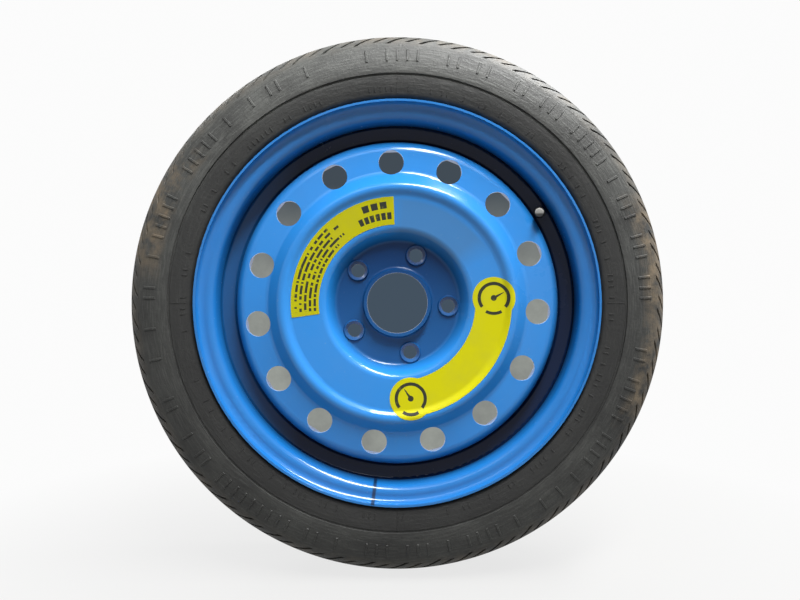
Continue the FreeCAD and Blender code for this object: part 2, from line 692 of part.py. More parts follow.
def make_tyre():
    tyre = doc.addObject("PartDesign::Body", "tyre")
    section = body_sketch(tyre, "tyre_section", "XY_Plane", PROFILE_PLANE)
    corners = half_outside("")
    corners.append((CROWN_CORNER, "0", "{crown_radius}"))
    corners.extend(reversed(half_outside("-")))
    corners.extend(reversed(half_liner("-")))
    corners.append((LINER, "0", "{crown_radius}"))
    corners.extend(half_liner(""))
    draw_outline(section, corners)
    spin_profile(tyre, section, "Revolution", "tyre_moulding")

    cuts = body_sketch(tyre, "groove_section", "XY_Plane", PROFILE_PLANE)
    for number in range(round(value("{groove_count}"))):
        draw_outline(cuts, groove_corners(number))
    for side in ("", "-"):
        draw_outline(cuts, mould_line_corners(side))
    spin_profile(tyre, cuts, "Groove", "tread_grooves")

    half_pitch = 180 / value("{notch_count}")
    for name, side, turn in (("outboard", 1, 0), ("inboard", -1, half_pitch)):
        notch = tyre.newObject("PartDesign::SubtractiveBox", f"{name}_notch")
        bind(notch, "Length", "{notch_length}")
        bind(notch, "Width", "{notch_width}")
        bind(notch, "Height", "4 * {notch_depth}")
        notch.Placement = notch_placement(side, turn)
        tyre.Tip = notch
        repeat_round(tyre, [notch], f"{name}_notches", "Y_Axis", "{notch_count}")
    return keep(tyre, "tyre")


# Valve: rubber body and brass stem fixed in the rim, a core inside, and a cap with its seal

RUBBER_BORE = "({stem_radius} + {core_fit} / 2)"
WALL_BACK = "(-{rim_sheet} - {valve_seat_gap})"
BARREL_SKIN = "({core_chamber} - {core_fit})"
PIN_BORE = "({pin_radius} + {pin_fit})"
GASKET_TOP = "({core_seat} + {core_fit} + {gasket_height})"
CUP_TOP = "({barrel_bottom} - {cup_gap})"
CAP_BORE = "({thread_radius} + {cap_fit})"
SEAL_BOTTOM = "({stem_tip} + {seal_gap})"
SEAL_TOP = f"({SEAL_BOTTOM} + {{seal_thickness}})"


def make_valve_body():
    neck = "({valve_hole_radius} - {valve_fit})"
    turned_piece("valve_body", [
        (RUBBER_BORE, "-{rubber_tail}"),
        ("{rubber_tail_radius}", "-{rubber_tail}"),
        ("{rubber_inner_radius}", f"{WALL_BACK} - {{rubber_inner_length}}"),
        ("{rubber_inner_radius}", WALL_BACK),
        (neck, WALL_BACK),
        (neck, "{valve_seat_gap}"),
        ("{rubber_outer_radius}", "{valve_seat_gap}"),
        ("{rubber_outer_radius}", "{valve_seat_gap} + {rubber_outer_length}"),
        ("{rubber_tip_radius}", "{rubber_length} - {rubber_tip_radius}"),
        ("{rubber_tip_radius}", "{rubber_length}"),
        (RUBBER_BORE, "{rubber_length}"),
    ], VALVE)


def make_valve_stem():
    turned_piece("valve_stem", [
        ("{stem_bore}", "-{rubber_tail}"),
        ("{stem_radius}", "-{rubber_tail}"),
        ("{stem_radius}", "{stem_shoulder}"),
        ("{thread_radius}", "{stem_shoulder}"),
        ("{thread_radius}", "{stem_tip}"),
        ("{core_chamber}", "{stem_tip}"),
        ("{core_chamber}", "{core_seat}"),
        ("{stem_bore}", "{core_seat}"),
    ], VALVE)


def make_valve_core():
    turned_piece("valve_core_barrel", [
        (PIN_BORE, "{barrel_bottom}"),
        ("{barrel_neck}", "{barrel_bottom}"),
        ("{barrel_neck}", f"{GASKET_TOP} + {{core_fit}}"),
        (BARREL_SKIN, f"{GASKET_TOP} + {{core_fit}}"),
        (BARREL_SKIN, "{barrel_top}"),
        ("{spring_chamber}", "{barrel_top}"),
        ("{spring_chamber}", "{spring_floor}"),
        (PIN_BORE, "{spring_floor}"),
    ], VALVE)
    turned_piece("valve_core_gasket", [
        ("{barrel_neck} + {core_fit}", "{core_seat} + {core_fit}"),
        (f"{BARREL_SKIN} - {{core_fit}}", "{core_seat} + {core_fit}"),
        (BARREL_SKIN, GASKET_TOP),
        ("{barrel_neck} + {core_fit}", GASKET_TOP),
    ], VALVE)
    turned_piece("valve_core_pin", [
        ("0", "{pin_tail}"),
        ("{pin_radius}", "{pin_tail}"),
        ("{pin_radius}", "{pin_collar_bottom}"),
        ("{pin_collar_radius}", "{pin_collar_bottom}"),
        ("{pin_collar_radius}", "{pin_collar_bottom} + {pin_collar_height}"),
        ("{pin_radius}", "{pin_collar_bottom} + {pin_collar_height}"),
        ("{pin_radius}", "{pin_tip}"),
        ("0", "{pin_tip}"),
    ], VALVE)
    turned_piece("valve_core_cup", [
        ("{pin_radius} + {core_fit} / 2", f"{CUP_TOP} - {{cup_height}}"),
        ("{cup_radius}", f"{CUP_TOP} - {{cup_height}}"),
        ("{cup_radius}", CUP_TOP),
        ("{pin_radius} + {core_fit} / 2", CUP_TOP),
    ], VALVE)

    coil = doc.addObject("PartDesign::Body", "valve_core_spring")
    wire = body_sketch(coil, "spring_wire_section", "XZ_Plane")
    start = "({spring_floor} + {spring_wire} + {core_fit})"
    draw_circle(wire, "{spring_coil}", start, "{spring_wire}")
    helix = coil.newObject("PartDesign::AdditiveHelix", "spring_helix")
    helix.Profile = wire
    helix.ReferenceAxis = (wire, ["V_Axis"])
    helix.Mode = "height-turns-angle"
    bind(helix, "Height", "{pin_collar_bottom} - {spring_floor} - 2 * {spring_wire} - 2 * {core_fit}")
    bind(helix, "Turns", "{spring_turns}")
    coil.Tip = helix
    coil.Placement = VALVE
    keep(coil, "valve_core_spring")


def make_valve_cap():
    ceiling = f"({SEAL_TOP} + {{core_fit}})"
    cap = turned_piece("valve_cap", [
        (CAP_BORE, "{cap_bottom}"),
        ("{cap_radius}", "{cap_bottom}"),
        ("{cap_radius}", "{cap_top}", "{cap_rounding}"),
        ("0", "{cap_top}"),
        ("0", ceiling),
        (CAP_BORE, ceiling),
    ], VALVE)
    flute = body_sketch(cap, "flute_section", "XY_Plane")
    draw_circle(flute, "{cap_radius} - {cap_flute_depth} + {cap_flute_radius}", "0", "{cap_flute_radius}")
    first_flute = pierce(cap, flute, "first_flute")
    repeat_round(cap, [first_flute], "flutes", "Z_Axis", "{cap_rib_count}")
    turned_piece("valve_cap_seal", [
        ("0", SEAL_BOTTOM),
        (f"{CAP_BORE} - {{seal_fit}}", SEAL_BOTTOM),
        (f"{CAP_BORE} - {{seal_fit}}", SEAL_TOP),
        ("0", SEAL_TOP),
    ], VALVE)


# Build, check and write each sub-part

skin = disc_path()
make_rim()
make_disc(skin)
make_welds()
make_stickers(skin)
make_tyre()
make_valve_body()
make_valve_stem()
make_valve_core()
make_valve_cap()
doc.recompute()

for item in doc.Objects:
    if "Invalid" in item.State or "Error" in item.State:
        raise RuntimeError(f"{item.Label} did not build: {item.State}")

os.makedirs("parts", exist_ok=True)
for item in sub_parts:
    shape = item.Shape
    if shape.isNull() or not shape.isValid():
        raise RuntimeError(f"{item.Label} has no valid shape")
    shape.exportStep(f"parts/{item.Label}.step")
    print(f"{item.Label}: {len(shape.Solids)} solid(s), {shape.Volume:.1f} mm3")
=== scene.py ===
# %% [markdown]
# Temporary spare wheel, dressed for the camera.
# The solids of the wheel are already built and packed, so this lesson only adds what a paint shop, a
# tyre mould and a year in a car boot add: a moulded tread, raised bars on the sidewall, gloss paint,
# printed film, rubber, brass and dust. Lengths are metres. The wheel's centre is the origin, its axle
# lies along Y, the outboard face looks towards -Y, and Z is up.

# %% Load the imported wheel
import json
import math

import bmesh
import bpy
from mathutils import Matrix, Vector


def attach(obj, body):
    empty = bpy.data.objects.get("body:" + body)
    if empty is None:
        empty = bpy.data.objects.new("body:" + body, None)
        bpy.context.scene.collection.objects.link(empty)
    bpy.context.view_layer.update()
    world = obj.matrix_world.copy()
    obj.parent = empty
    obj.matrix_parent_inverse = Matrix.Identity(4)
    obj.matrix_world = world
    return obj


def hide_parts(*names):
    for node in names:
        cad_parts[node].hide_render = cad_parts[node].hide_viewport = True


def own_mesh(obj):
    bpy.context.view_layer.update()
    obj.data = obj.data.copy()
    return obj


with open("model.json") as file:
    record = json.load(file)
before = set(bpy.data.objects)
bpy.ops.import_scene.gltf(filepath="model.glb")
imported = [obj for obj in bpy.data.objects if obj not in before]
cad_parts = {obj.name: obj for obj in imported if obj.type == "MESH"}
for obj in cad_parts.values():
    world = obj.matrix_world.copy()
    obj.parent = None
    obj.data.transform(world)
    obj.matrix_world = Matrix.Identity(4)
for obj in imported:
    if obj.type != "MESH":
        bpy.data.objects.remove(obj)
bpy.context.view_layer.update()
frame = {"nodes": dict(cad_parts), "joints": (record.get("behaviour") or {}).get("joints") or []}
nodes = frame["nodes"]
MM = 0.001
print("solids loaded:", sorted(nodes))

# %% [markdown]
# Shader building blocks.
# A material is a small network of nodes, and most networks need the same few moves: add a node, do a
# sum, blend two colours, carry a value from one number to another. Each could be written out wherever it
# is used, but one helper per move keeps the later cells short enough to read.

# %% Helpers for any network
def set_inputs(tree, node, inputs):
    """Gives inputs of a node, by name or number, a constant or a socket each."""
    for key, setting in inputs.items():
        if isinstance(setting, bpy.types.NodeSocket):
            tree.links.new(setting, node.inputs[key])
        else:
            node.inputs[key].default_value = setting


def add_node(tree, kind, inputs=None, **settings):
    """Adds a node; settings are its properties."""
    node = tree.nodes.new(kind)
    for name, setting in settings.items():
        setattr(node, name, setting)
    set_inputs(tree, node, inputs or {})
    return node


def maths(tree, operation, first, second=0.0, third=0.0):
    """One sum; each operand is a number or a socket."""
    inputs = {0: first, 1: second, 2: third}
    return add_node(tree, "ShaderNodeMath", inputs, operation=operation).outputs[0]


def times(tree, first, second):
    """The product of two values."""
    return maths(tree, "MULTIPLY", first, second)


def vector_node(tree, operation, first, second=(0.0, 0.0, 0.0)):
    """One sum on vectors; a length or a dot product comes out as a value."""
    outputs = add_node(tree, "ShaderNodeVectorMath", {0: first, 1: second}, operation=operation).outputs
    return outputs["Value"] if operation in ("LENGTH", "DOT_PRODUCT") else outputs["Vector"]


def axes_of(tree, place):
    """The three axes of a vector as sockets X, Y and Z."""
    return add_node(tree, "ShaderNodeSeparateXYZ", {0: place}).outputs


def mix_colours(tree, factor, first, second):
    """Blends two colours by a factor; each colour is three numbers or a socket."""
    first, second = (
        colour if isinstance(colour, bpy.types.NodeSocket) else (*colour, 1.0) for colour in (first, second)
    )
    return add_node(tree, "ShaderNodeMix", {0: factor, 6: first, 7: second}, data_type="RGBA").outputs[2]


def ramp(tree, driver, start, end, first, last):
    """Carries a value from one number to another while its driver goes from start to end."""
    return add_node(tree, "ShaderNodeMapRange", {0: driver, 1: start, 2: end, 3: first, 4: last}).outputs[0]


def noise(tree, place, scale, detail):
    """Cloudy noise about one half."""
    inputs = {"Vector": place, "Scale": scale, "Detail": detail}
    return add_node(tree, "ShaderNodeTexNoise", inputs).outputs[0]


print("helpers for sums, colours, ramps and noise are ready")


# %% Helpers for groups, materials and objects
def start_group(name, inputs, outputs, family="Shader"):
    """A node group with named sockets, given as (kind, name) or (kind, name, start value)."""
    tree = bpy.data.node_groups.new(name, f"{family}NodeTree")
    for kind, label, *start in inputs:
        socket = tree.interface.new_socket(label, in_out="INPUT", socket_type=f"NodeSocket{kind}")
        if start:
            socket.default_value = start[0]
    for kind, label in outputs:
        tree.interface.new_socket(label, in_out="OUTPUT", socket_type=f"NodeSocket{kind}")
    entry = tree.nodes.new("NodeGroupInput").outputs
    leave = tree.nodes.new("NodeGroupOutput").inputs
    return tree, entry, leave


def use_group(tree, group, **inputs):
    """Places a group in a network; underscores in the keywords stand for spaces."""
    named = {label.replace("_", " "): setting for label, setting in inputs.items()}
    return add_node(tree, "ShaderNodeGroup", named, node_tree=group).outputs


def start_material(name, colour, roughness, metallic=0.0):
    """A material with one Principled shader; returns it, its network, the shader and Object coordinates."""
    material = bpy.data.materials.new(name)
    material.use_nodes = True
    material.diffuse_color = (*colour, 1.0)
    tree = material.node_tree
    shader = tree.nodes["Principled BSDF"]
    set_inputs(tree, shader, {"Base Color": (*colour, 1.0), "Roughness": roughness, "Metallic": metallic})
    place = add_node(tree, "ShaderNodeTexCoord").outputs["Object"]
    return material, tree, shader, place


def roughen(tree, shader, height, strength, distance):
    """Feeds a height through a Bump node to the shader's normal."""
    bump = add_node(tree, "ShaderNodeBump", {"Strength": strength, "Distance": distance, "Height": height})
    tree.links.new(bump.outputs[0], shader.inputs["Normal"])


def add_object(name, data):
    """Puts a mesh, a lamp or a camera in the scene as an object."""
    added = bpy.data.objects.new(name, data)
    bpy.context.scene.collection.objects.link(added)
    return added


print("helpers for groups, materials and objects are ready")

# %% [markdown]
# Where a point is on a wheel.
# Everything on a wheel is easiest to say as a clock angle and a radius, as on a dial. One group turns a
# point's place into those two numbers. A second one uses them to mask a curved window, which serves for
# printed bars, for a weld line and for patches of dirt. Painted images could do this too, but they would
# need unwrapping, and would blur close up. A third group gives the cloudy masks of dust and wear.


# %% Clock angle and radius
def make_dial_group():
    outputs = [("Float", "Clock"), ("Float", "Radius")]
    tree, entry, leave = start_group("Clock and radius", [("Vector", "Place")], outputs)
    axes = axes_of(tree, entry["Place"])
    turn = maths(tree, "ARCTAN2", axes["X"], axes["Z"])
    degrees = maths(tree, "MULTIPLY_ADD", turn, 180.0 / math.pi, 360.0)
    flat = add_node(tree, "ShaderNodeCombineXYZ", {0: axes["X"], 2: axes["Z"]}).outputs[0]
    tree.links.new(maths(tree, "FLOORED_MODULO", degrees, 360.0), leave["Clock"])
    tree.links.new(vector_node(tree, "LENGTH", flat), leave["Radius"])
    return tree


DIAL = make_dial_group()
print("group:", DIAL.name)


# %% Curved window
def make_window_group():
    inputs = [
        ("Float", "Clock"), ("Float", "Radius"),
        ("Float", "Middle"), ("Float", "Half span", 10.0), ("Float", "Clock blur", 0.3),
        ("Float", "Inner"), ("Float", "Outer", 1.0), ("Float", "Radius blur", 0.0003),
    ]
    tree, entry, leave = start_group("Curved window", inputs, [("Float", "Mask")])
    away = maths(tree, "SUBTRACT", entry["Clock"], entry["Middle"])
    away = maths(tree, "FLOORED_MODULO", maths(tree, "ADD", away, 180.0), 360.0)
    away = maths(tree, "ABSOLUTE", maths(tree, "SUBTRACT", away, 180.0))
    along = maths(tree, "SUBTRACT", entry["Half span"], away)
    along = maths(tree, "DIVIDE", along, entry["Clock blur"])
    below = maths(tree, "SUBTRACT", entry["Outer"], entry["Radius"])
    above = maths(tree, "SUBTRACT", entry["Radius"], entry["Inner"])
    across = maths(tree, "MINIMUM", below, above)
    across = maths(tree, "DIVIDE", across, entry["Radius blur"])
    mask = maths(tree, "ADD", maths(tree, "MINIMUM", along, across), 0.5)
    tree.links.new(add_node(tree, "ShaderNodeClamp", {0: mask}).outputs[0], leave["Mask"])
    return tree


WINDOW = make_window_group()


def window(tree, dial, clock, radius):
    """Mask of a curved window; clock is (middle, half span, blur) and radius is (inner, outer, blur)."""
    return use_group(
        tree, WINDOW, Clock=dial["Clock"], Radius=dial["Radius"],
        Middle=clock[0], Half_span=clock[1], Clock_blur=clock[2],
        Inner=radius[0], Outer=radius[1], Radius_blur=radius[2],
    )["Mask"]


print("group:", WINDOW.name)


# %% Grime
def make_grime_group():
    inputs = [("Vector", "Place"), ("Float", "Scale", 20.0), ("Float", "Start", 0.45), ("Float", "Full", 0.7)]
    tree, entry, leave = start_group("Grime", inputs, [("Float", "Mask")])
    inputs = {"Vector": entry["Place"], "Scale": entry["Scale"], "Detail": 6.0, "Roughness": 0.62}
    cloud = add_node(tree, "ShaderNodeTexNoise", inputs).outputs[0]
    tree.links.new(ramp(tree, cloud, entry["Start"], entry["Full"], 0.0, 1.0), leave["Mask"])
    return tree


GRIME = make_grime_group()


def grime(tree, place, scale, start, full):
    """Cloudy mask: none where the noise is below start, one where it is above full."""
    return use_group(tree, GRIME, Place=place, Scale=scale, Start=start, Full=full)["Mask"]


print("group:", GRIME.name)

# %% [markdown]
# Blue paint.
# The steel is dipped in primer and sprayed with one thick, glossy coat. A clear coat layer on the shader
# gives the sharp highlights on the bends, a faint noise in the bump stands for orange peel, and a thin
# veil of dust takes the gloss off in places. Painted shade darkens the floor of the channel between disc
# and rim to a dark navy, less on its left, and darkens the hub recess, most towards its top; in both the
# clear coat is weaker, so they mirror less. A duller, greyer patch on the disc's upper right is a painted
# reflection. Those masks could be painted by hand, but depth and radius describe them exactly. The rim
# was rolled from a strip whose ends are butt welded, so its paint also gets the dark line of that weld.

# %% Masks of painted shade
# A ramp is four numbers: where it starts, where it ends, and its value at each.
CHANNEL_RADIUS = 0.165
CHANNEL_END = -0.010
CHANNEL_DEPTH = (-0.042, -0.029, 0.0, 1.0)
CHANNEL_SIDE = (-0.19, -0.11, 0.55, 1.0)
RECESS_WALL = (0.067, 0.077, 1.0, 0.0)
RECESS_HEIGHT = (-0.05, 0.05, 0.70, 1.0)


def painted_channel_shade(tree, place, dial):
    """Mask of painted shade between disc and rim: one on the channel's floor, less on its left, none
    elsewhere.
    """
    axes = axes_of(tree, place)
    deep = ramp(tree, axes["Y"], *CHANNEL_DEPTH)
    outboard = maths(tree, "LESS_THAN", axes["Y"], CHANNEL_END)
    beyond = maths(tree, "GREATER_THAN", dial["Radius"], CHANNEL_RADIUS)
    floor = times(tree, deep, times(tree, outboard, beyond))
    return times(tree, floor, ramp(tree, axes["X"], *CHANNEL_SIDE))


def painted_recess_shade(tree, place, dial):
    """Mask of painted shade in the hub recess: one on its floor, less towards its foot, none beyond its wall.
    """
    inside = ramp(tree, dial["Radius"], *RECESS_WALL)
    return times(tree, inside, ramp(tree, axes_of(tree, place)["Z"], *RECESS_HEIGHT))


print("channel beyond radius", CHANNEL_RADIUS, "and recess within", RECESS_WALL[1])

# %% Paint for disc, rim and welds
# Grime is three numbers: its scale, and the noise at which its mask starts and is full.
DISC_BLUE = (0.018, 0.200, 0.560)
RIM_BLUE = (0.010, 0.142, 0.42)
# The next two colours are painted shade: one for the hub recess, one for the floor of the channel.
RECESS_SHADE_BLUE = (0.0030, 0.034, 0.125)
CHANNEL_SHADE_DARK = (0.003, 0.010, 0.036)
SEAM_DARK = (0.006, 0.012, 0.03)
DUST_GREY = (0.20, 0.21, 0.21)
# A painted reflection: a duller, greyer patch on the disc's upper right.
PAINTED_REFLECTION_BLUE = (0.045, 0.140, 0.290)
REFLECTION_CLOCK = (27.0, 30.0, 14.0)
REFLECTION_RADIUS = (0.074, 0.114, 0.005)
REFLECTION_SHARE = 0.62
SEAM_CLOCK = (187.0, 0.52, 0.35)
SEAM_RADIUS = (0.190, 0.2195, 0.001)
SEAM_SHARE = 0.85
SEAM_GROOVE = -6.0
VEIL = (9.0, 0.42, 0.80)
VEIL_SHARE = 0.10
SPECKS = (260.0, 0.66, 0.74)
SPECK_SHARE = 0.22
ORANGE_PEEL = (420.0, 2.0)
CLEAN_ROUGHNESS = 0.22
DUST_ROUGHNESS = 0.9
COAT = 0.45
COAT_LOSS = -0.42


def make_paint(name, blue, seam=False):
    material, tree, shader, place = start_material(name, blue, 0.34)
    dial = use_group(tree, DIAL, Place=place)
    specks = times(tree, grime(tree, place, *SPECKS), SPECK_SHARE)
    dust_and_highlight = maths(tree, "MULTIPLY_ADD", grime(tree, place, *VEIL), VEIL_SHARE, specks)
    colour = mix_colours(tree, dust_and_highlight, blue, DUST_GREY)
    height = noise(tree, place, *ORANGE_PEEL)
    if seam:
        line = window(tree, dial, SEAM_CLOCK, SEAM_RADIUS)
        colour = mix_colours(tree, times(tree, line, SEAM_SHARE), colour, SEAM_DARK)
        height = maths(tree, "MULTIPLY_ADD", line, SEAM_GROOVE, height)
    # Painted reflection: the upper right of the disc is blended towards a duller blue.
    painted_reflection = times(tree, window(tree, dial, REFLECTION_CLOCK, REFLECTION_RADIUS), REFLECTION_SHARE)
    colour = mix_colours(tree, painted_reflection, colour, PAINTED_REFLECTION_BLUE)
    # Painted shade: the hub recess and the channel's floor get darker colours and a weaker clear coat.
    recess = painted_recess_shade(tree, place, dial)
    channel = painted_channel_shade(tree, place, dial)
    colour = mix_colours(tree, recess, colour, RECESS_SHADE_BLUE)
    painted_shade = maths(tree, "MAXIMUM", recess, channel)
    set_inputs(tree, shader, {
        "Base Color": mix_colours(tree, channel, colour, CHANNEL_SHADE_DARK),
        "Roughness": maths(tree, "MULTIPLY_ADD", dust_and_highlight, DUST_ROUGHNESS, CLEAN_ROUGHNESS),
        "Specular IOR Level": 0.16,
        "Coat Weight": maths(tree, "MULTIPLY_ADD", painted_shade, COAT_LOSS, COAT),
        "Coat Roughness": 0.06,
    })
    roughen(tree, shader, height, strength=0.06, distance=0.0006)
    return material


disc_paint = make_paint("gloss blue paint", DISC_BLUE)
rim_paint = make_paint("blue paint with weld line", RIM_BLUE, seam=True)
print("paints:", disc_paint.name, "and", rim_paint.name)

# %% [markdown]
# Finishes of the valve.
# A snap-in valve is a brass tube bonded into black rubber, with a small brass core, a steel spring and a
# plastic cap. They are plain finishes, so one function with a colour and a roughness makes them, rather
# than a network for each. Only the cap has more to show: it is black plastic, and its upper side is
# painted paler and rougher, a painted highlight of light from above. Its height is measured square to the
# valve's axis, which its joint gives.

# %% Brass, steel and rubber
WEAR = (220.0, 0.45, 0.75)
WEAR_SHARE = 0.25


def make_plain(name, colour, roughness, metallic=0.0):
    material, tree, shader, place = start_material(name, colour, roughness, metallic)
    faded = tuple(0.6 * part + 0.4 * dust_and_highlight for part, dust_and_highlight in zip(colour, DUST_GREY))
    amount = times(tree, grime(tree, place, *WEAR), WEAR_SHARE)
    tree.links.new(mix_colours(tree, amount, colour, faded), shader.inputs["Base Color"])
    return material


valve_rubber = make_plain("valve rubber", (0.016, 0.016, 0.017), 0.62)
brass = make_plain("brass", (0.62, 0.43, 0.16), 0.30, metallic=1.0)
spring_steel = make_plain("spring steel", (0.55, 0.55, 0.56), 0.25, metallic=1.0)
seal_rubber = make_plain("seal rubber", (0.10, 0.03, 0.02), 0.55)
print("valve finishes:", [finish.name for finish in (valve_rubber, brass, spring_steel, seal_rubber)])

# %% Plastic of the cap
CAP_BLACK = (0.014, 0.015, 0.016)
# The cap is black; its paler upper side is a painted highlight.
CAP_HIGHLIGHT = (0.30, 0.295, 0.28)
CAP_ROUGHNESS = 0.35
CAP_HIGHLIGHT_ROUGHNESS = 0.75
HIGHLIGHT_FOOT = -1.6 * MM
HIGHLIGHT_TOP = 0.4 * MM

cap_joint = next(joint for joint in frame["joints"] if joint["name"] == "cap_turn")
valve_axis = Vector(cap_joint["axis"]).normalized()
cap_middle = Vector(cap_joint["pos_m"])


def make_cap_plastic():
    """Black plastic with a painted highlight on the cap's upper side."""
    material, tree, shader, place = start_material("black cap plastic with painted highlight", CAP_BLACK, CAP_ROUGHNESS)
    upward = Vector((0.0, 0.0, 1.0))
    upward = (upward - valve_axis * upward.dot(valve_axis)).normalized()
    offset = vector_node(tree, "SUBTRACT", place, tuple(cap_middle))
    height = vector_node(tree, "DOT_PRODUCT", offset, tuple(upward))
    # Painted highlight: the cap turns pale and rough above its middle.
    dust_and_highlight = ramp(tree, height, HIGHLIGHT_FOOT, HIGHLIGHT_TOP, 0.0, 1.0)
    set_inputs(tree, shader, {
        "Base Color": mix_colours(tree, dust_and_highlight, CAP_BLACK, CAP_HIGHLIGHT),
        "Roughness": ramp(tree, dust_and_highlight, 0.0, 1.0, CAP_ROUGHNESS, CAP_HIGHLIGHT_ROUGHNESS),
    })
    return material


cap_plastic = make_cap_plastic()
print("valve axis:", tuple(round(part, 4) for part in valve_axis))

# %% [markdown]
# Printed film.
# The two stickers are yellow film with dark print: rows of bars and blocks, and a round gauge on each end
# of the lower one. The print could be cut as thin shapes over the film, but they would flicker against
# it. Worked out in the shader from clock angle and radius, the rows bend with the sticker, as real print
# does.

# %% Print masks
PRINT_CLOCK_BLUR = 0.15
PRINT_BLUR = 0.25 * MM
BLOCK_SHARE = 0.74
GAUGE_RING = (14.0 * MM, 17.6 * MM, PRINT_BLUR)
GAUGE_RING_CLOCK = (0.0, 128.0, 2.0)
GAUGE_BAR = (15.2 * MM, 18.6 * MM, PRINT_BLUR)
GAUGE_BAR_CLOCK = (180.0, 30.0, 1.0)
NEEDLE_HALF = 1.7 * MM
NEEDLE_TAPER = -0.11
NEEDLE_LENGTH = 12.5 * MM
NEEDLE_HUB = 3.2 * MM


def print_band(tree, dial, middle, half_span, inner, outer):
    """Mask of the band that one printed row fills; radii are millimetres."""
    clock = (middle, half_span, PRINT_CLOCK_BLUR)
    return window(tree, dial, clock, (inner * MM, outer * MM, PRINT_BLUR))


def broken_row(tree, dial, band, step, fill, seed):
    """One row of bars: clock angle is cut in steps, and a seeded lot fills some of them."""
    cell = maths(tree, "FLOOR", maths(tree, "DIVIDE", dial["Clock"], step))
    inputs = {"W": maths(tree, "MULTIPLY_ADD", cell, 1.37, seed)}
    lot = add_node(tree, "ShaderNodeTexWhiteNoise", inputs, noise_dimensions="1D").outputs[0]
    return times(tree, band, maths(tree, "LESS_THAN", lot, fill))


def block_row(tree, dial, band, step):
    """One row of even blocks with a gap after each."""
    share = maths(tree, "FRACT", maths(tree, "DIVIDE", dial["Clock"], step))
    return times(tree, band, maths(tree, "LESS_THAN", share, BLOCK_SHARE))


def round_gauge(tree, place, clock, circle, lean):
    """A gauge about one point of the sticker: an open ring, a needle, a hub dot and a bar below."""
    turn = math.radians(clock)
    centre = (circle * MM * math.sin(turn), 0.0, circle * MM * math.cos(turn))
    flat = vector_node(tree, "MULTIPLY", place, (1.0, 0.0, 1.0))
    local = vector_node(tree, "SUBTRACT", flat, centre)
    dial = use_group(tree, DIAL, Place=local)
    ring = window(tree, dial, GAUGE_RING_CLOCK, GAUGE_RING)
    bar = window(tree, dial, GAUGE_BAR_CLOCK, GAUGE_BAR)
    pointing = (math.sin(math.radians(lean)), 0.0, math.cos(math.radians(lean)))
    crossing = (pointing[2], 0.0, -pointing[0])
    along = vector_node(tree, "DOT_PRODUCT", local, pointing)
    across = maths(tree, "ABSOLUTE", vector_node(tree, "DOT_PRODUCT", local, crossing))
    half_width = maths(tree, "MULTIPLY_ADD", along, NEEDLE_TAPER, NEEDLE_HALF)
    slim = maths(tree, "LESS_THAN", across, half_width)
    ahead = maths(tree, "GREATER_THAN", along, 0.0)
    short = maths(tree, "LESS_THAN", along, NEEDLE_LENGTH)
    needle = times(tree, times(tree, slim, ahead), short)
    hub = maths(tree, "LESS_THAN", dial["Radius"], NEEDLE_HUB)
    gauge = maths(tree, "MAXIMUM", ring, bar)
    return maths(tree, "MAXIMUM", gauge, maths(tree, "MAXIMUM", needle, hub))


print("gauge ring:", GAUGE_RING[:2])

# %% Film for the stickers
# The upper film's yellow is darker than the lower one's: painted shade, as the upper sticker lies in duller
# light.
UPPER_YELLOW_IN_PAINTED_SHADE = (0.40, 0.380, 0.004)
LOWER_YELLOW = (0.50, 0.475, 0.004)
SOILED_YELLOW = (0.30, 0.29, 0.06)
PRINT_DARK = (0.028, 0.030, 0.022)
RUBBED = (150.0, 0.60, 0.75)
RUBBED_LOSS = -0.45
DIRT = (28.0, 0.45, 0.85)
DIRT_SHARE = 0.30
WAVES = (60.0, 3.0)
BLOCK_ROWS = ((346.0, 8.0, 104.0, 111.5, 5.3), (345.5, 11.5, 92.0, 99.5, 3.8))
SMALL_ROWS = ((26.0, 109.8), (29.0, 104.6), (26.0, 99.4), (29.0, 94.2), (26.0, 89.0))
SMALL_ROW_HEIGHT = 2.7
SMALL_ROWS_START = 264.5
SMALL_STEP = 1.05
SMALL_FILL = 0.74
GAUGE_CIRCLE = 105.5
GAUGES = ((87.0, 60.0), (172.0, -35.0))


def draw_upper(tree, place, dial):
    masks = []
    for *band, step in BLOCK_ROWS:
        masks.append(block_row(tree, dial, print_band(tree, dial, *band), step))
    for number, (half_span, inner) in enumerate(SMALL_ROWS):
        middle = SMALL_ROWS_START + half_span
        band = print_band(tree, dial, middle, half_span, inner, inner + SMALL_ROW_HEIGHT)
        masks.append(broken_row(tree, dial, band, SMALL_STEP, SMALL_FILL, 11.0 + 7.0 * number))
    return masks


def draw_lower(tree, place, dial):
    return [round_gauge(tree, place, clock, GAUGE_CIRCLE, lean) for clock, lean in GAUGES]


def make_film(name, yellow, draw):
    """A film material; draw puts its print masks in the network and returns them as a list."""
    material, tree, shader, place = start_material(name, yellow, 0.42)
    dial = use_group(tree, DIAL, Place=place)
    printed = 0.0
    for mask in draw(tree, place, dial):
        printed = maths(tree, "MAXIMUM", mask, printed)
    left = maths(tree, "MULTIPLY_ADD", grime(tree, place, *RUBBED), RUBBED_LOSS, 1.0)
    printed = times(tree, printed, left)
    dirt = times(tree, grime(tree, place, *DIRT), DIRT_SHARE)
    ground = mix_colours(tree, dirt, yellow, SOILED_YELLOW)
    set_inputs(tree, shader, {
        "Base Color": mix_colours(tree, printed, ground, PRINT_DARK),
        "Specular IOR Level": 0.12,
    })
    roughen(tree, shader, noise(tree, place, *WAVES), strength=0.12, distance=0.001)
    return material


upper_film = make_film("yellow film, upper print", UPPER_YELLOW_IN_PAINTED_SHADE, draw_upper)
lower_film = make_film("yellow film, lower print", LOWER_YELLOW, draw_lower)
print("films:", upper_film.name, "and", lower_film.name)
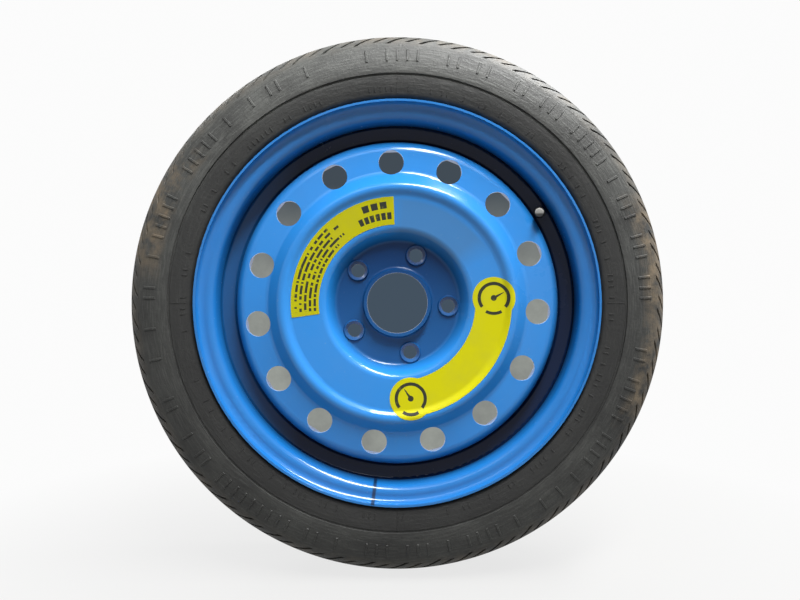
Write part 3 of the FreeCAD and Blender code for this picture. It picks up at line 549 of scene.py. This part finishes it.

# %% [markdown]
# Rubber of the tyre.
# A tyre that has lain in a boot is not black: a grey bloom covers it, fine streaks run round it, and soil
# has dried on the shoulders. Painted light makes the bloom lighter towards the top and darker towards the
# bottom, as light from above falls. One grey with a bump would look like plastic, so the material mixes
# three colours by noise, and curved windows say where the brown soil lies thickest. The streaks come from
# coordinates that are stretched round the wheel.

# %% Tyre rubber
RUBBER_DARK = (0.012, 0.012, 0.012)
RUBBER_BLOOM = (0.078, 0.080, 0.075)
SOIL_BROWN = (0.16, 0.125, 0.085)
LEAST_GREY = 0.12
BLOOM = (14.0, 0.30, 0.75)
BLOOM_SHARE = 0.55
SCUFFS = (1.0, 0.46, 0.68)
SCUFF_SHARE = 0.40
SCUFF_HEIGHT = 0.35
CRUMBS = (55.0, 0.40, 0.66)
GRAIN = (320.0, 5.0)
BEAD_FADE = (0.243, 0.251, 0.25, 1.0)
# Painted light: the bloom is raised towards the top and lowered towards the bottom.
PAINTED_LIGHT_FROM_ABOVE = (-0.05, 0.26, 0.72, 1.55)
STREAKS_ACROSS = 420.0
STREAKS_ROUND = 14.0
SOIL_PATCHES = ((292.0, 13.0, 0.262, 0.85), (92.0, 24.0, 0.270, 0.85), (0.0, 180.0, 0.283, 0.30))
SOIL_OUTER = 0.320
SOIL_CLOCK_BLUR = 9.0
SOIL_BLUR = 0.012


def streaked(tree, place, dial):
    """Coordinates stretched round the wheel: slow along the ring, quick across it."""
    axes = axes_of(tree, place)
    radial = times(tree, dial["Radius"], STREAKS_ACROSS)
    sideways = maths(tree, "DIVIDE", axes["X"], dial["Radius"])
    upwards = maths(tree, "DIVIDE", axes["Z"], dial["Radius"])
    inputs = {
        0: times(tree, sideways, STREAKS_ROUND),
        1: maths(tree, "MULTIPLY_ADD", axes["Y"], STREAKS_ACROSS, radial),
        2: times(tree, upwards, STREAKS_ROUND),
    }
    return add_node(tree, "ShaderNodeCombineXYZ", inputs).outputs[0]


def dried_soil(tree, place, dial):
    """Mask of soil: crumbs within a few curved windows."""
    soil = 0.0
    for middle, half_span, inner, share in SOIL_PATCHES:
        clock = (middle, half_span, SOIL_CLOCK_BLUR)
        patch = window(tree, dial, clock, (inner, SOIL_OUTER, SOIL_BLUR))
        soil = maths(tree, "MAXIMUM", times(tree, patch, share), soil)
    return times(tree, soil, grime(tree, place, *CRUMBS))


def make_rubber():
    material, tree, shader, place = start_material("tyre rubber", RUBBER_DARK, 0.55)
    dial = use_group(tree, DIAL, Place=place)
    scuffs = grime(tree, streaked(tree, place, dial), *SCUFFS)
    grey = maths(tree, "MULTIPLY_ADD", grime(tree, place, *BLOOM), BLOOM_SHARE, LEAST_GREY)
    grey = maths(tree, "MULTIPLY_ADD", scuffs, SCUFF_SHARE, grey)
    grey = times(tree, grey, ramp(tree, dial["Radius"], *BEAD_FADE))
    # Painted light and shade: the grey grows towards the top and shrinks towards the bottom.
    grey = times(tree, grey, ramp(tree, axes_of(tree, place)["Z"], *PAINTED_LIGHT_FROM_ABOVE))
    colour = mix_colours(tree, grey, RUBBER_DARK, RUBBER_BLOOM)
    set_inputs(tree, shader, {
        "Base Color": mix_colours(tree, dried_soil(tree, place, dial), colour, SOIL_BROWN),
        "Specular IOR Level": 0.28,
    })
    height = maths(tree, "MULTIPLY_ADD", scuffs, SCUFF_HEIGHT, noise(tree, place, *GRAIN))
    roughen(tree, shader, height, strength=0.45, distance=0.0009)
    return material


tyre_rubber = make_rubber()
print("tyre finish:", tyre_rubber.name, "with", len(SOIL_PATCHES), "patches of soil")

# %% [markdown]
# Section of the tyre.
# A tyre is a ring with one section all the way round. The section could be drawn as a curve, but here it
# is written as a few corners with a rounding each, the same ones that shape the solid, so that the two
# agree. A helper turns the corners into rows of points.

# %% Corners of the section, radius and half width in millimetres
FLANGE_FACE = 50.55
HEEL_RADIUS = 203.05
TOE_RADIUS = 201.77
TOE_WIDTH = 35.95
TYRE_RADIUS = 303.0
CROWN_RADIUS = 100.0
CROWN_ANGLE = math.radians(19.0)
TREAD_EDGE_WIDTH = 46.0
CROWN_CORNER = TYRE_RADIUS + CROWN_RADIUS * (1.0 / math.cos(CROWN_ANGLE) - 1.0)
TREAD_EDGE = CROWN_CORNER - TREAD_EDGE_WIDTH * math.tan(CROWN_ANGLE)
SHOULDER = (284.0, 55.5)
HALF_OUTSIDE = [
    (TOE_RADIUS, TOE_WIDTH, 0.0),
    (HEEL_RADIUS, FLANGE_FACE, 6.75),
    (219.0, FLANGE_FACE, 10.0),
    (224.0, 58.5, 8.0),
    (252.0, 64.0, 60.0),
    (*SHOULDER, 20.0),
    (TREAD_EDGE, TREAD_EDGE_WIDTH, 8.0),
    (CROWN_CORNER, 0.0, 0.0),
]
HALF_LINER = [
    (TYRE_RADIUS - 11.5, 0.0, 0.0),
    (TREAD_EDGE - 8.05, 41.0, 14.0),
    (252.0, 55.6, 42.0),
    (224.0, 48.3, 14.0),
    (TOE_RADIUS, TOE_WIDTH, 0.0),
]


def rounded_rows(corners, step):
    """Points along lines through corners (radius, width, rounding); arcs get a point each step degrees."""
    spots = [Vector(corner[:2]) for corner in corners]
    rows = [spots[0]]
    for before, spot, after, corner in zip(spots, spots[1:], spots[2:], corners[1:]):
        back = (before - spot).normalized()
        ahead = (after - spot).normalized()
        half = back.angle(ahead) / 2
        centre = spot + (back + ahead).normalized() * (corner[2] / math.sin(half))
        first = spot + back * (corner[2] / math.tan(half)) - centre
        last = spot + ahead * (corner[2] / math.tan(half)) - centre
        pieces = max(2, round(math.degrees(first.angle(last)) / step))
        for piece in range(pieces + 1):
            outward = first.lerp(last, piece / pieces).normalized()
            rows.append(centre + outward * corner[2])
    rows.append(spots[-1])
    return rows


outside = rounded_rows(HALF_OUTSIDE, step=12.0)[:-1]
liner = rounded_rows(HALF_LINER, step=30.0)[:-1]
print("rows from bead to tread edge:", len(outside), "and inside:", len(liner))

# %% [markdown]
# One pitch of the mould.
# A tyre mould is cut as one pitch of the pattern, repeated round the ring. Cutting the pattern out of a
# finished ring with booleans would be slow and leave poor faces, so one pitch is modelled as a bent grid:
# rows run across the section and columns run round the axle. Rows and columns lie on the edges of
# grooves, notches and sipes, so that their walls are sharp, and the columns lean with the shoulder
# notches. Between two deep notches lies a shallow nick. On the sidewall, where two mould plates meet, the
# inner part lies a little back behind a fine groove.

# %% Rows of the pitch
PITCHES = 50
NOTCH_HALF = 2.4
NOTCH_DEPTH = 3.0
NOTCH_REACH = 7.5
NICK_DEPTH = 1.8
NICK_REACH = 5.0
NOTCH_END = 0.15
LEAN_REACH = 9.7
NOTCH_LEAN = -math.tan(math.radians(56.0))
FLANK_RADIUS = 270.0
FAR_AWAY = 99.0
MOULD_STEPS = ((232.0, 0.0), (243.0, 0.6), (245.6, 0.9), (246.4, 1.7), (247.7, 1.7), (248.2, 0.0))
flank_top = Vector((TREAD_EDGE, TREAD_EDGE_WIDTH))
flank_foot = Vector(SHOULDER)
flank_middle = (flank_top + flank_foot) / 2
flank_down = (flank_foot - flank_top).normalized()
flank_out = Vector((flank_down.y, -flank_down.x))


def split_rows(rows, measure, stops):
    """Adds a row wherever measure(row) passes one of the stops."""
    result = [rows[0]]
    for first, second in zip(rows, rows[1:]):
        low, high = measure(first), measure(second)
        inside = [stop for stop in stops if min(low, high) < stop < max(low, high)]
        for stop in sorted(inside, reverse=low > high):
            result.append(first.lerp(second, (stop - low) / (high - low)))
        result.append(second)
    return result


def down_flank(row):
    """How far a point lies down the shoulder's flank from its middle; rows near the bead are far away."""
    return (row - flank_middle).dot(flank_down) if row.x > FLANK_RADIUS else FAR_AWAY


def step_depth(radius):
    """How far the sidewall lies back at a radius, where the inner mould plate meets the outer one."""
    for (low, first), (high, second) in zip(MOULD_STEPS, MOULD_STEPS[1:]):
        if low <= radius <= high:
            return first + (second - first) * (radius - low) / (high - low)
    return 0.0


outside = split_rows(outside, lambda row: row.x, [radius for radius, depth in MOULD_STEPS])
outside = [Vector((row.x, row.y - step_depth(row.x))) for row in outside]
flank_stops = [0.0, LEAN_REACH]
for reach in (NOTCH_REACH, NICK_REACH):
    flank_stops.extend([-reach - NOTCH_END, -reach + NOTCH_END, reach - NOTCH_END, reach + NOTCH_END])
outside = split_rows(outside, down_flank, flank_stops)
print("rows from bead to tread edge, with the pattern's edges:", len(outside))

# %% Rows of the tread, and the whole loop
GROOVES = (-21.0, 0.0, 21.0)
GROOVE_LIP = 3.0
GROOVE_FLOOR = 2.0
GROOVE_DEPTH = 5.2
SIPE_ROWS = (7.5, 13.5, 28.0, 32.0)
SIPE_DEPTH = 3.0
TREAD_ROWS_END = 36.0
OUTBOARD = 1
TREAD = 0
INBOARD = -1
LINER = 2


def tread_radius(width):
    """Radius of the tread at a distance from its middle."""
    if abs(width) < CROWN_RADIUS * math.sin(CROWN_ANGLE):
        return TYRE_RADIUS - CROWN_RADIUS + math.sqrt(CROWN_RADIUS**2 - width**2)
    return CROWN_CORNER - abs(width) * math.tan(CROWN_ANGLE)


tread_widths = [TREAD_ROWS_END, -TREAD_ROWS_END]
for width in SIPE_ROWS:
    tread_widths.extend([width, -width])
for groove in GROOVES:
    for half in (GROOVE_LIP, GROOVE_FLOOR):
        tread_widths.extend([groove + half, groove - half])
tread_widths.sort(reverse=True)

# Each row of the loop is a place in the section and the side it belongs to.
loop = [(row, OUTBOARD) for row in outside]
loop += [(Vector((tread_radius(width), width)), TREAD) for width in tread_widths]
loop += [(Vector((row.x, -row.y)), INBOARD) for row in reversed(outside)]
loop += [(Vector((row.x, -row.y)), LINER) for row in reversed(liner[1:])]
loop += [(row, LINER) for row in liner]
print("rows in the loop:", len(loop))

# %% Columns and depth of the pattern
NOTCH_WALL = 0.25
SIPE_HALF = 0.30
half_pitch = 180.0 / PITCHES
per_mm = math.degrees(1.0 / flank_middle.x)
notch_edge = NOTCH_HALF * per_mm
wall = NOTCH_WALL * per_mm
sipe_turn = half_pitch / 2
sipe_edge = SIPE_HALF * per_mm
right_columns = [
    notch_edge - wall, notch_edge, sipe_turn - sipe_edge, sipe_turn, sipe_turn + sipe_edge,
    half_pitch - notch_edge, half_pitch - notch_edge + wall, half_pitch,
]
columns = [-column for column in reversed(right_columns)] + right_columns


def in_notch(column, middle):
    """Whether a column lies inside the notch whose middle is at that angle, walls left out."""
    away = abs((column - middle + half_pitch) % (2 * half_pitch) - half_pitch)
    return away < notch_edge - wall / 2


def lean_of(row, side):
    """Degrees that a row's columns are turned, so that they follow the notches."""
    if side in (OUTBOARD, INBOARD):
        reach = down_flank(Vector((row.x, abs(row.y))))
    else:
        reach = -LEAN_REACH if side == TREAD else LEAN_REACH
    return max(-LEAN_REACH, min(LEAN_REACH, reach)) * NOTCH_LEAN * per_mm


def notched(row, side, column):
    """A sidewall row's place once the deep notch and the nick are cut."""
    point = Vector((row.x, abs(row.y)))
    middle = 0.0 if side == OUTBOARD else half_pitch
    cuts = ((middle, NOTCH_REACH, NOTCH_DEPTH), (middle + half_pitch, NICK_REACH, NICK_DEPTH))
    for turn, reach, depth in cuts:
        if abs(down_flank(point)) < reach and in_notch(column, turn):
            height = (point - flank_middle).dot(flank_out)
            point = point + flank_out * min(0.0, -depth - height)
    return Vector((point.x, math.copysign(point.y, side)))


def grooved(row, column):
    """A tread row's place once grooves and sipes are cut."""
    in_groove = any(abs(row.y - groove) < (GROOVE_LIP + GROOVE_FLOOR) / 2 for groove in GROOVES)
    on_sipe = abs(row.y) in SIPE_ROWS and abs(column) == sipe_turn
    depth = GROOVE_DEPTH if in_groove else SIPE_DEPTH if on_sipe else 0.0
    return Vector((row.x - depth, row.y))


print("columns in one pitch:", len(columns))

# %% Grid of the pitch
def shaped(row, side, column):
    """A row's place in the section at one column."""
    if side == TREAD:
        return grooved(row, column)
    return row if side == LINER else notched(row, side, column)


def make_pitch():
    """The grid of one pitch as a mesh object, in place at the top of the wheel."""
    mesh = bpy.data.meshes.new("tread pitch")
    grid = bmesh.new()
    lines = []
    for row, side in loop:
        line = []
        for column in columns:
            point = shaped(row, side, column) * MM
            turn = math.radians(column + lean_of(row, side))
            line.append(grid.verts.new((point.x * math.sin(turn), -point.y, point.x * math.cos(turn))))
        lines.append(line)
    for first, second in zip(lines, lines[1:] + lines[:1]):
        for i in range(len(columns) - 1):
            grid.faces.new((first[i], first[i + 1], second[i + 1], second[i]))
    grid.to_mesh(mesh)
    grid.free()
    return add_object("tread pitch", mesh)


tread_pitch = make_pitch()
print("faces in one pitch:", len(tread_pitch.data.polygons))

# %% [markdown]
# Repeating round the axle.
# An array modifier could repeat the pitch, but it needs a helper object to turn about. Geometry Nodes need
# none: a row of points at the centre, one copy on each, and each copy turned by its share of a full
# circle. A seeded lot can leave copies out, which later gives the raised bars of the sidewall their
# uneven groups. The result is kept as a plain mesh with its seams merged and its faces turned outwards.

# %% Geometry Nodes tree for repeats
MERGE_DISTANCE = 1e-5
GEOMETRY = ("Geometry", "Geometry")


def make_repeat_tree():
    inputs = [
        GEOMETRY, ("Object", "Piece"), ("Int", "Count"),
        ("Float", "Filled"), ("Int", "Seed"), ("Material", "Finish"),
    ]
    tree, entry, leave = start_group("Round the axle", inputs, [GEOMETRY], "Geometry")
    points = add_node(tree, "GeometryNodePoints", {"Count": entry["Count"]}).outputs[0]
    piece = add_node(tree, "GeometryNodeObjectInfo", {"Object": entry["Piece"]}).outputs["Geometry"]
    index = add_node(tree, "GeometryNodeInputIndex").outputs[0]
    share = maths(tree, "DIVIDE", index, entry["Count"])
    turn = times(tree, share, 2.0 * math.pi)
    rotation = add_node(tree, "ShaderNodeCombineXYZ", {"Y": turn}).outputs[0]
    inputs = {"Probability": entry["Filled"], "Seed": entry["Seed"]}
    lot = add_node(tree, "FunctionNodeRandomValue", inputs, data_type="BOOLEAN").outputs[3]
    inputs = {"Points": points, "Instance": piece, "Rotation": rotation, "Selection": lot}
    copies = add_node(tree, "GeometryNodeInstanceOnPoints", inputs).outputs[0]
    solid = add_node(tree, "GeometryNodeRealizeInstances", {0: copies}).outputs[0]
    inputs = {"Geometry": solid, "Distance": MERGE_DISTANCE}
    welded = add_node(tree, "GeometryNodeMergeByDistance", inputs).outputs[0]
    inputs = {"Geometry": welded, "Material": entry["Finish"]}
    tree.links.new(add_node(tree, "GeometryNodeSetMaterial", inputs).outputs[0], leave[0])
    return tree


REPEAT = make_repeat_tree()
print("tree:", REPEAT.name, "with", len(REPEAT.nodes), "nodes")


# %% From a tree to a plain mesh
def tidy_mesh(mesh, sharp=35.0):
    """Turns faces outwards, shades them smooth and keeps edges sharper than an angle."""
    work = bmesh.new()
    work.from_mesh(mesh)
    bmesh.ops.recalc_face_normals(work, faces=work.faces)
    work.to_mesh(mesh)
    work.free()
    mesh.shade_smooth()
    mesh.set_sharp_from_angle(angle=math.radians(sharp))


def run_tree(name, tree, settings):
    """Runs a tree on a carrier object and keeps its result as a plain mesh object."""
    carrier = add_object(name, bpy.data.meshes.new(name + " carrier"))
    modifier = carrier.modifiers.new("tree", "NODES")
    modifier.node_group = tree
    for item in tree.interface.items_tree:
        if item.in_out == "INPUT" and item.name in settings:
            modifier[item.identifier] = settings[item.name]
    view = bpy.context.evaluated_depsgraph_get()
    view.update()
    mesh = bpy.data.meshes.new_from_object(carrier.evaluated_get(view))
    mesh.name = name
    carrier.modifiers.remove(modifier)
    carrier.data = mesh
    tidy_mesh(mesh)
    print(name, "has", len(mesh.polygons), "faces")
    return carrier


def repeat_round(name, piece, count, finish, filled=1.0, seed=1):
    """Repeats a piece round the axle, then drops the single one."""
    settings = {"Piece": piece, "Count": count, "Filled": filled, "Seed": seed, "Finish": finish}
    ring = run_tree(name, REPEAT, settings)
    bpy.data.objects.remove(piece)
    return ring


tyre = repeat_round("moulded_tyre", tread_pitch, PITCHES, tyre_rubber)

# %% [markdown]
# Raised bars on the sidewall.
# The mould leaves raised marks on the sidewall: groups of short bars in two bands, and four fine radial
# seams where its quarters meet. A bump would give them no edge against the light, so each is a low solid
# with a bevelled top, laid on the same section as the wall itself, and the tree repeats it.

# %% Sidewall bars
BAR_STEP = 4.0
BAR_EDGE = 0.6
BAR_ROOT = -0.25


def wall_point(radius, lift):
    """A point of the outboard sidewall at a radius, lifted off the surface, in millimetres."""
    for first, second in zip(outside, outside[1:]):
        if first.x <= radius <= second.x and first.y > FLANGE_FACE + 1.0:
            spot = first.lerp(second, (radius - first.x) / (second.x - first.x))
            along = (second - first).normalized()
            return spot + Vector((-along.y, along.x)) * lift
    raise ValueError(f"no sidewall at {radius}")


def make_bar(name, inner, outer, half_width, lift):
    """One bar with a bevelled edge, standing on the sidewall at the top of the wheel."""
    mesh = bpy.data.meshes.new(name)
    work = bmesh.new()
    edge = min(BAR_EDGE, half_width * 0.4)
    length = outer - inner - 2 * edge
    pieces = math.ceil(length / BAR_STEP)
    spans = [inner, *(inner + edge + length * piece / pieces for piece in range(pieces + 1)), outer]
    sides = [-half_width, -half_width + edge, half_width - edge, half_width]
    lines = []
    for row, radius in enumerate(spans):
        line = []
        for column, across in enumerate(sides):
            at_foot = row in (0, len(spans) - 1) or column in (0, len(sides) - 1)
            point = wall_point(radius, BAR_ROOT if at_foot else lift) * MM
            line.append(work.verts.new((across * MM, -point.y, point.x)))
        lines.append(line)
    for first, second in zip(lines, lines[1:]):
        for i in range(len(sides) - 1):
            work.faces.new((first[i], second[i], second[i + 1], first[i + 1]))
    right = [line[-1] for line in lines[1:-1]]
    left = [line[0] for line in lines[-2:0:-1]]
    work.faces.new(lines[0] + right + lines[-1][::-1] + left)
    work.to_mesh(mesh)
    work.free()
    return add_object(name, mesh)


# Name, sizes of one bar in millimetres, number of places round the tyre, share of them filled, and seed.
BARS = (
    ("tall_bars", (261.0, 275.5, 1.5, 0.9), 150, 0.62, 4),
    ("small_bars", (229.0, 234.5, 0.9, 0.6), 240, 0.45, 9),
    ("mould_seams", (227.0, 245.5, 0.6, 0.4), 4, 1.0, 1),
)
bars = []
for name, sizes, count, filled, seed in BARS:
    bar = make_bar("one of " + name, *sizes)
    bars.append(repeat_round(name, bar, count, tyre_rubber, filled, seed))

# %% [markdown]
# Spring of the valve core.
# The core's spring gets shorter as the pin is pressed; here the coil is drawn at one length. A wire coil
# could be a screw modifier on a circle, but as a circle swept along a spiral it is drawn from four
# numbers, and ends closed. It stands on the floor of the core's chamber, along the valve's axis.

# %% Tree of the coil
def make_coil_tree():
    inputs = [
        GEOMETRY, ("Float", "Turns"), ("Float", "Radius"), ("Float", "Length"), ("Float", "Wire"),
        ("Vector", "Foot"), ("Vector", "Turn"), ("Material", "Finish"),
    ]
    tree, entry, leave = start_group("Coil", inputs, [GEOMETRY], "Geometry")
    spiral = add_node(tree, "GeometryNodeCurveSpiral", {
        "Resolution": 24, "Rotations": entry["Turns"], "Start Radius": entry["Radius"],
        "End Radius": entry["Radius"], "Height": entry["Length"],
    }).outputs[0]
    inputs = {"Resolution": 10, "Radius": entry["Wire"]}
    circle = add_node(tree, "GeometryNodeCurvePrimitiveCircle", inputs).outputs[0]
    inputs = {"Curve": spiral, "Profile Curve": circle, "Fill Caps": True}
    wire = add_node(tree, "GeometryNodeCurveToMesh", inputs).outputs[0]
    inputs = {"Geometry": wire, "Translation": entry["Foot"], "Rotation": entry["Turn"]}
    placed = add_node(tree, "GeometryNodeTransform", inputs).outputs[0]
    solid = add_node(tree, "GeometryNodeRealizeInstances", {0: placed}).outputs[0]
    inputs = {"Geometry": solid, "Material": entry["Finish"]}
    tree.links.new(add_node(tree, "GeometryNodeSetMaterial", inputs).outputs[0], leave[0])
    return tree


COIL = make_coil_tree()
print("tree:", COIL.name, "with", len(COIL.nodes), "nodes")

# %% Coil spring
CAP_JOINT_HEIGHT = 28.0 * MM
SPRING_START = 24.62 * MM
SPRING_LENGTH = 3.36 * MM
SPRING_TURNS = 5.0
SPRING_RADIUS = 1.15 * MM
WIRE_RADIUS = 0.17 * MM
valve_foot = cap_middle - valve_axis * CAP_JOINT_HEIGHT
valve_turn = Vector((0.0, 0.0, 1.0)).rotation_difference(valve_axis).to_euler()

spring = run_tree("core_coil", COIL, {
    "Turns": SPRING_TURNS, "Radius": SPRING_RADIUS, "Length": SPRING_LENGTH, "Wire": WIRE_RADIUS,
    "Foot": valve_foot + valve_axis * SPRING_START, "Turn": valve_turn, "Finish": spring_steel,
})
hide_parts("valve_core_spring")
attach(spring, "wheel")
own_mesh(spring)

# %% [markdown]
# Dressing the solids.
# Disc, rim, welds, stickers and the valve's pieces already have the right shape, so they keep their own
# meshes and only change their material. Remaking them here could only drift from the solids. The tyre and
# the core's spring are the two solids that a finer piece stands in for.

# %% Materials on the solids, and what rides on what
FINISHES = {
    "wheel_disc": disc_paint,
    "rim": rim_paint,
    "disc_welds": disc_paint,
    "upper_sticker": upper_film,
    "lower_sticker": lower_film,
    "valve_body": valve_rubber,
    "valve_stem": brass,
    "valve_core_barrel": brass,
    "valve_core_gasket": seal_rubber,
    "valve_core_pin": brass,
    "valve_core_cup": seal_rubber,
    "valve_cap": cap_plastic,
    "valve_cap_seal": seal_rubber,
}
for name, finish in FINISHES.items():
    for slot in nodes[name].material_slots:
        slot.link = "OBJECT"
        slot.material = finish

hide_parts("tyre")
for piece in (tyre, *bars):
    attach(piece, "wheel")
print("dressed:", len(FINISHES), "solids")

# %% [markdown]
# Studio.
# A pale floor touches the tread, and a white sky stands behind. Bright lamps could whiten both, but they
# would bleach the wheel. Instead, rays from the camera, off gloss and through clear things see plain
# white, and all other rays see something darker, so that the light on the wheel still comes mostly from
# above, as it does outdoors. Close to the wheel the floor keeps a share of its shading, for the shadow.

# %% Floor
TREAD_FOOT = -TYRE_RADIUS * MM
FLOOR_HALF = 4.0
STUDIO_WHITE = (0.97, 0.97, 0.97, 1.0)
FLOOR_GREY = (0.20, 0.20, 0.19, 1.0)
SHADOW_FADE = (0.32, 0.75, 0.80, 1.0)


def seen_rays(tree):
    """One for rays that look at the background: from the camera, off gloss and through clear things."""
    path = add_node(tree, "ShaderNodeLightPath").outputs
    mirrored = maths(tree, "MAXIMUM", path["Is Glossy Ray"], path["Is Transmission Ray"])
    return maths(tree, "MAXIMUM", path["Is Camera Ray"], mirrored)


def make_stage_material():
    material, tree, shader, place = start_material("pale studio", FLOOR_GREY[:3], 0.9)
    glow = add_node(tree, "ShaderNodeEmission", {"Color": STUDIO_WHITE, "Strength": 1.0}).outputs[0]
    white = ramp(tree, vector_node(tree, "LENGTH", place), *SHADOW_FADE)
    share = times(tree, seen_rays(tree), white)
    blend = add_node(tree, "ShaderNodeMixShader", {0: share, 1: shader.outputs[0], 2: glow})
    tree.links.new(blend.outputs[0], tree.nodes["Material Output"].inputs[0])
    return material


def make_sheet(name, corners, material):
    """A flat piece of the stage with one face."""
    mesh = bpy.data.meshes.new(name)
    mesh.from_pydata(corners, [], [tuple(range(len(corners)))])
    mesh.materials.append(material)
    return add_object(name, mesh)


signs = ((-1, -1), (1, -1), (1, 1), (-1, 1))
floor_corners = [(FLOOR_HALF * x, FLOOR_HALF * y, TREAD_FOOT) for x, y in signs]
floor = make_sheet("floor", floor_corners, make_stage_material())
print("floor at", TREAD_FOOT)

# %% [markdown]
# Behind the wheel.
# Through the vents and the hub bore one sees shade behind the wheel rather than white sky. A wall there
# would darken the whole picture, so a round card close behind the tyre shows the shade to the camera
# only: dim in the middle and at the top, paler elsewhere, and clear from the back and for other rays.

# %% Shaded card
CARD_RADIUS = 0.205
CARD_DEPTH = 0.066
CARD_SIDES = 64
SHADE_HUB = (0.058, 0.084, 0.115)
SHADE_TOP = (0.055, 0.072, 0.090)
SHADE_DARK = (0.20, 0.21, 0.20)
SHADE_PALE = (0.34, 0.36, 0.33)
SHADE_OUTWARDS = (0.08, 0.15, 0.0, 1.0)
SHADE_UPWARDS = (0.02, 0.15, 0.0, 1.0)
SHADE_PATCHES = (14.0, 0.30, 0.70)


def make_card_material():
    material, tree, shader, place = start_material("shaded wall", SHADE_PALE, 0.9)
    tree.nodes.remove(shader)
    outwards = ramp(tree, use_group(tree, DIAL, Place=place)["Radius"], *SHADE_OUTWARDS)
    upwards = ramp(tree, axes_of(tree, place)["Z"], *SHADE_UPWARDS)
    pale = mix_colours(tree, grime(tree, place, *SHADE_PATCHES), SHADE_DARK, SHADE_PALE)
    colour = mix_colours(tree, outwards, SHADE_HUB, mix_colours(tree, upwards, pale, SHADE_TOP))
    glow = add_node(tree, "ShaderNodeEmission", {"Color": colour, "Strength": 1.0}).outputs[0]
    clear = add_node(tree, "ShaderNodeBsdfTransparent").outputs[0]
    facing = maths(tree, "SUBTRACT", 1.0, add_node(tree, "ShaderNodeNewGeometry").outputs["Backfacing"])
    camera_ray = add_node(tree, "ShaderNodeLightPath").outputs["Is Camera Ray"]
    seen = times(tree, facing, camera_ray)
    blend = add_node(tree, "ShaderNodeMixShader", {0: seen, 1: clear, 2: glow})
    tree.links.new(blend.outputs[0], tree.nodes["Material Output"].inputs[0])
    return material


card_turns = [2.0 * math.pi * side / CARD_SIDES for side in range(CARD_SIDES)]
card_corners = [
    (CARD_RADIUS * math.cos(turn), CARD_DEPTH, CARD_RADIUS * math.sin(turn)) for turn in card_turns
]
card = make_sheet("shaded_card", card_corners, make_card_material())
print("card looks towards", tuple(round(part, 2) for part in card.data.polygons[0].normal))

# %% [markdown]
# Lamps and sky.
# Outdoors on a dull day most light comes from high above, some from ahead and a little from all round. A
# sky picture would give that too, but three wide area lamps and a dim, even sky are easier to set. The
# one above is long and narrow, so that its mirror image draws thin lines along the bends of the paint.

# %% Lamps and sky
# Name, place, target, width and depth in metres, and power in watts.
LAMPS = (
    ("sky above", (0.60, -0.42, 1.50), (0.0, -0.05, 0.0), 2.0, 0.36, 112.0),
    ("bright sky ahead", (0.0, -2.1, 2.1), (0.0, 0.0, 0.0), 3.2, 0.8, 20.0),
    ("sky behind", (-0.9, 2.2, 1.5), (0.0, 0.0, 0.0), 2.0, 1.0, 45.0),
)
SKY_COLOUR = (0.62, 0.66, 0.70, 1.0)
SKY_STRENGTH = 0.15


def make_lamp(name, place, target, width, depth, watts):
    lamp = bpy.data.lights.new(name, "AREA")
    lamp.shape = "RECTANGLE"
    lamp.size = width
    lamp.size_y = depth
    lamp.energy = watts
    holder = add_object(name, lamp)
    holder.location = place
    holder.rotation_euler = (Vector(target) - Vector(place)).to_track_quat("-Z", "Y").to_euler()


for lamp_settings in LAMPS:
    make_lamp(*lamp_settings)

world = bpy.data.worlds.new("soft sky")
bpy.context.scene.world = world
world.use_nodes = True
sky = world.node_tree
dim = sky.nodes["Background"]
set_inputs(sky, dim, {"Color": SKY_COLOUR, "Strength": SKY_STRENGTH})
white = add_node(sky, "ShaderNodeBackground", {"Color": STUDIO_WHITE, "Strength": 1.0}).outputs[0]
blend = add_node(sky, "ShaderNodeMixShader", {0: seen_rays(sky), 1: dim.outputs[0], 2: white})
sky.links.new(blend.outputs[0], sky.nodes["World Output"].inputs[0])
print("lamps:", [settings[0] for settings in LAMPS])

# %% [markdown]
# Camera.
# The photograph was taken head-on from close by: the bolt circle, the flange edge and the tyre's outline
# only agree at a distance of about three quarters of a metre, with a lens as wide as a phone's. A longer
# lens from further off would frame the wheel alike, but would hide the depth of the channel.

# %% Camera
IMAGE_WIDTH = 800
SENSOR_WIDTH = 36.0
FOCAL_PIXELS = 630.0
CAMERA_DISTANCE = 0.740
CENTRE_RIGHT = -2.5
CENTRE_DOWN = 2.8

camera = add_object("camera", bpy.data.cameras.new("camera"))
camera.data.sensor_width = SENSOR_WIDTH
camera.data.lens = SENSOR_WIDTH * FOCAL_PIXELS / IMAGE_WIDTH
across = -CENTRE_RIGHT * CAMERA_DISTANCE / FOCAL_PIXELS
up = CENTRE_DOWN * CAMERA_DISTANCE / FOCAL_PIXELS
camera.location = (across, -CAMERA_DISTANCE, up)
camera.rotation_euler = (math.radians(90.0), 0.0, 0.0)
bpy.context.scene.camera = camera
bpy.context.scene.view_settings.view_transform = "Standard"
print("lens:", round(camera.data.lens, 2), "mm")
